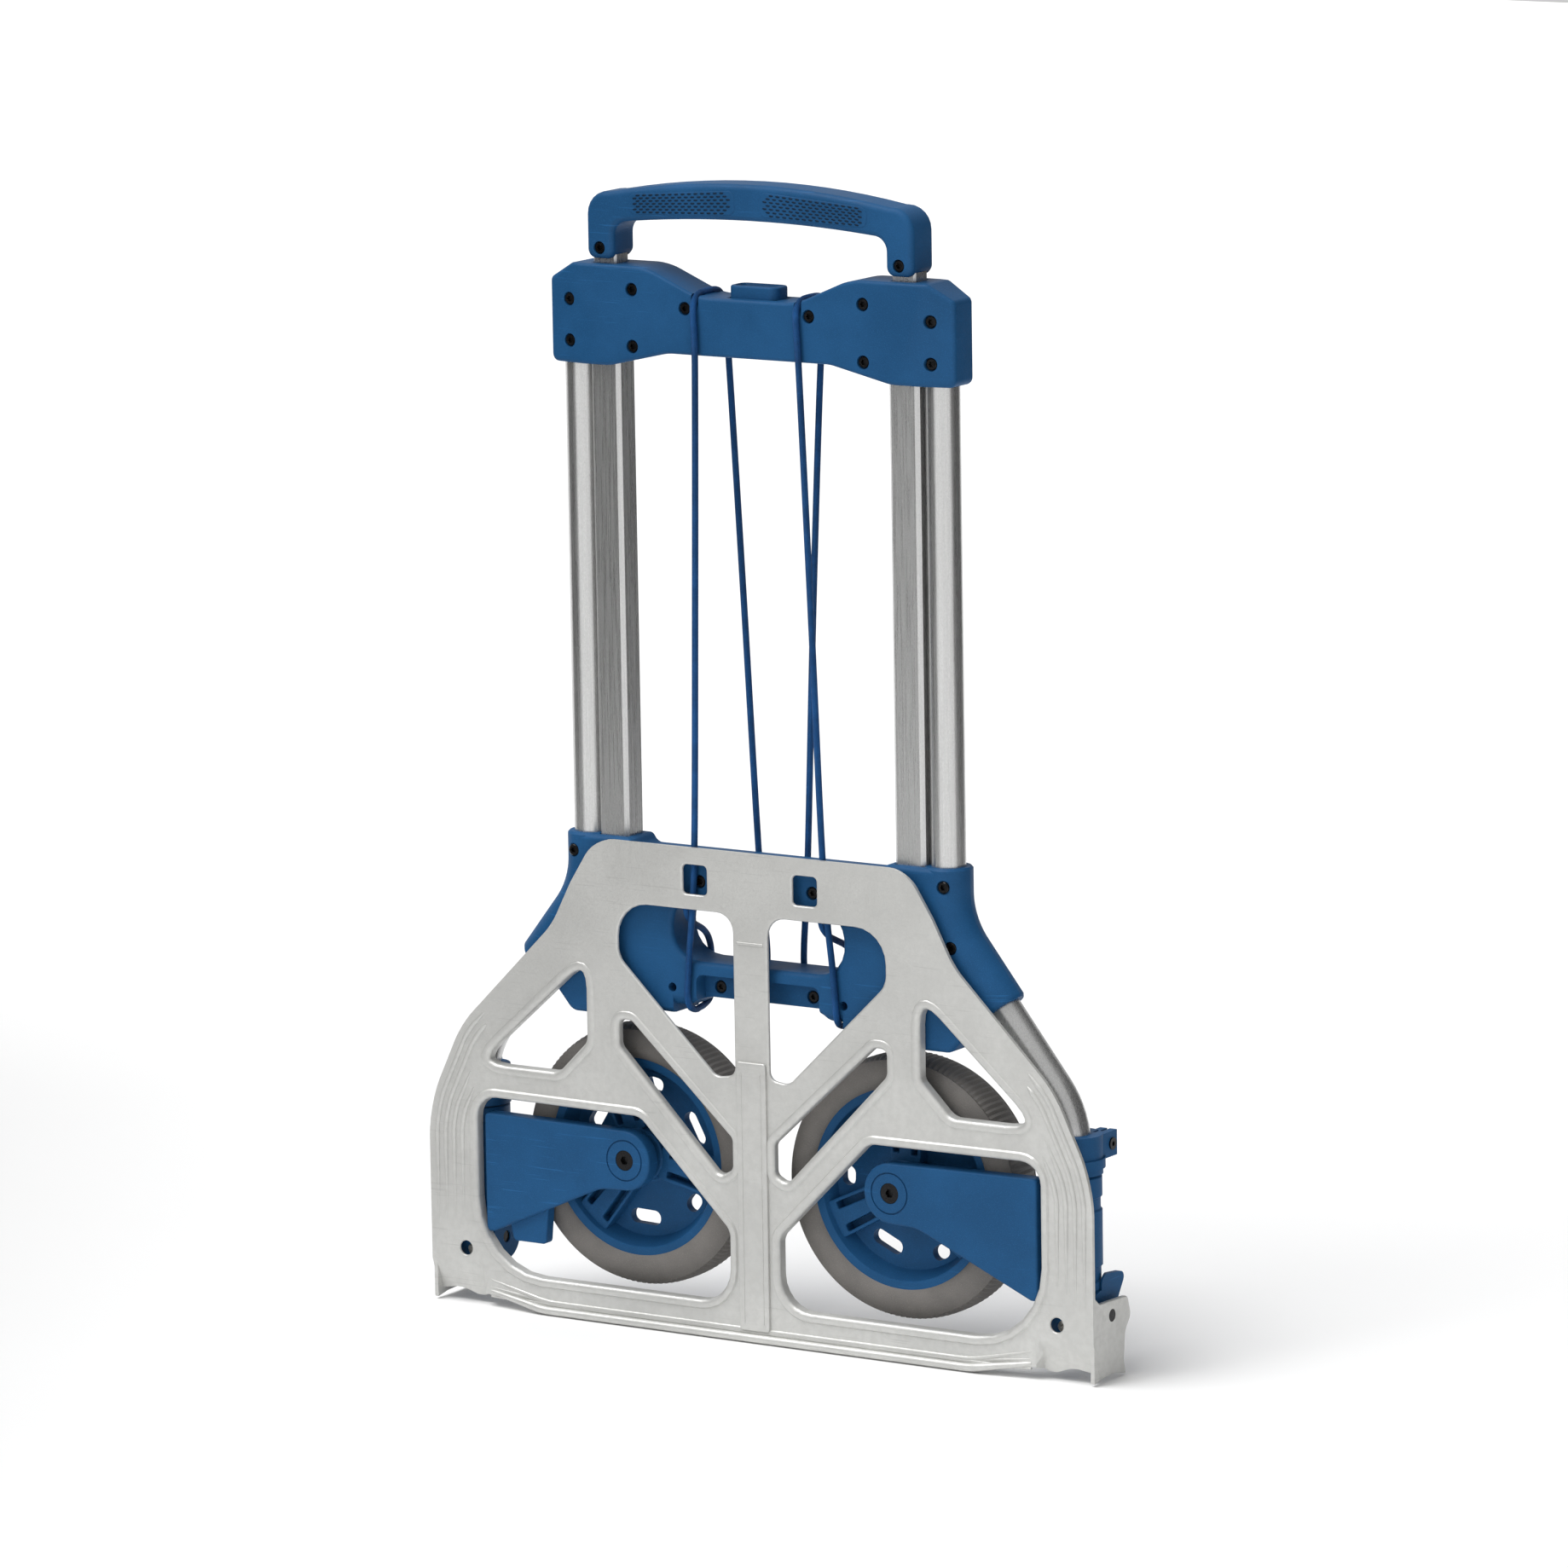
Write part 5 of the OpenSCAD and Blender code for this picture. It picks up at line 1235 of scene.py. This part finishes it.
class TRUCK_OT_stage(bpy.types.Operator):
    """Sets the camera, the soft lights and the pale floor"""
    bl_idname = "truck.stage"
    bl_label = "Stage"

    def execute(self, context):
        scene, view = context.scene, context.scene.truck_stage
        scene.view_settings.view_transform = "Standard"
        a, e, roll = view.azimuth, view.elevation, view.roll
        back = Vector((math.sin(a) * math.cos(e), -math.cos(a) * math.cos(e), math.sin(e)))
        right = Vector((math.cos(a), math.sin(a), 0))
        up = back.cross(right)
        side = right * math.cos(roll) + up * math.sin(roll)
        top = up * math.cos(roll) - right * math.sin(roll)
        camera = bpy.data.objects.new("camera", bpy.data.cameras.new("camera"))
        camera.data.lens, camera.data.sensor_width = view.lens, 36
        camera.matrix_world = Matrix.Translation(Vector(view.target) + back * view.distance) @ \
            Matrix((side, top, back)).transposed().to_4x4()
        scene.collection.objects.link(camera)
        scene.camera = camera
        floor = bmesh.new()
        bmesh.ops.create_grid(floor, x_segments=1, y_segments=1, size=8)
        mesh = bpy.data.meshes.new("floor")
        floor.to_mesh(mesh)
        floor.free()
        pale, tree, shader, place = finish_tree("pale_floor")
        cloud = node(tree, "ShaderNodeTexNoise", Vector=place, Scale=3.0, Detail=3.0)
        tree.links.new(mixed(tree, cloud.outputs["Fac"], (0.93, 0.93, 0.93), (0.95, 0.95, 0.95)),
                       shader.inputs["Base Color"])
        shader.inputs["Roughness"].default_value = 0.9
        mesh.materials.append(pale)
        ground = bpy.data.objects.new("floor", mesh)
        ground.location.z = -0.0004
        scene.collection.objects.link(ground)
        key = bpy.data.lights.new("key", "AREA")
        key.size, key.energy = 1.2, view.key
        wide = bpy.data.lights.new("overhead", "SUN")
        wide.angle, wide.energy = math.radians(40), view.overhead
        for lamp, where in ((key, (-1.2, -2.6, 1.8)), (wide, (-0.9, -1.0, 3.2))):
            obj = bpy.data.objects.new(lamp.name, lamp)
            aim = Vector(where) - Vector((0, 0, 0.35))
            obj.matrix_world = Matrix.Translation(where) @ aim.to_track_quat("Z", "Y").to_matrix().to_4x4()
            scene.collection.objects.link(obj)
        dark, tree, shader, place = finish_tree("dark_card")
        cloud = node(tree, "ShaderNodeTexNoise", Vector=place, Scale=2.0)
        tree.links.new(mixed(tree, cloud.outputs["Fac"], (0.03, 0.03, 0.03), (0.04, 0.04, 0.04)),
                       shader.inputs["Base Color"])
        for name, aside in (("right_card", 1.2), ("left_card", -1.5)):
            card = bmesh.new()
            bmesh.ops.create_grid(card, x_segments=1, y_segments=1, size=1)
            mesh = bpy.data.meshes.new(name)
            card.to_mesh(mesh)
            card.free()
            mesh.materials.append(dark)
            obj = bpy.data.objects.new(name, mesh)
            along = back.cross(Vector((0, 0, 1))).normalized()
            where = -along * aside + Vector((0, 0, 0.75))
            facing = along.to_track_quat("Z", "Y").to_matrix().to_4x4()
            obj.matrix_world = Matrix.Translation(where) @ facing @ Matrix.Diagonal((1.0, 0.72, 1, 1))
            scene.collection.objects.link(obj)
        world = bpy.data.worlds.new("studio")
        world.use_nodes = True
        light = world.node_tree.nodes["Background"]
        light.inputs["Color"].default_value = (1, 1, 1, 1)
        light.inputs["Strength"].default_value = view.sky
        scene.world = world
        return {"FINISHED"}


class TRUCK_PT_sidebar(bpy.types.Panel):
    """Lists the truck's pieces and sizes"""
    bl_idname = "TRUCK_PT_sidebar"
    bl_label = "Folding hand truck"
    bl_space_type = "VIEW_3D"
    bl_region_type = "UI"
    bl_category = "Truck"

    def draw(self, context):
        layout, scene = self.layout, context.scene
        for group in (scene.truck_colours, scene.truck_sizes, scene.truck_stage):
            box = layout.box()
            for name in group.__annotations__:
                box.prop(group, name)
        for operator in OPERATORS:
            layout.operator(operator.bl_idname)


OPERATORS = [TRUCK_OT_finishes, TRUCK_OT_stage, TRUCK_OT_cords, TRUCK_OT_toe_plate, TRUCK_OT_crosshead,
             TRUCK_OT_release_button, TRUCK_OT_yoke, TRUCK_OT_handle, TRUCK_OT_wheels]
GROUPS = [TruckColours, TruckSizes, TruckStage]


def register():
    for cls in GROUPS + OPERATORS + [TRUCK_PT_sidebar]:
        bpy.utils.register_class(cls)
    bpy.types.Scene.truck_colours = bpy.props.PointerProperty(type=TruckColours)
    bpy.types.Scene.truck_sizes = bpy.props.PointerProperty(type=TruckSizes)
    bpy.types.Scene.truck_stage = bpy.props.PointerProperty(type=TruckStage)


def unregister():
    del bpy.types.Scene.truck_stage
    del bpy.types.Scene.truck_sizes
    del bpy.types.Scene.truck_colours
    for cls in reversed(GROUPS + OPERATORS + [TRUCK_PT_sidebar]):
        bpy.utils.unregister_class(cls)


def main():
    register()
    for operator in OPERATORS:
        group, name = operator.bl_idname.split(".")
        getattr(getattr(bpy.ops, group), name)()


if __name__ == "__main__":
    main()
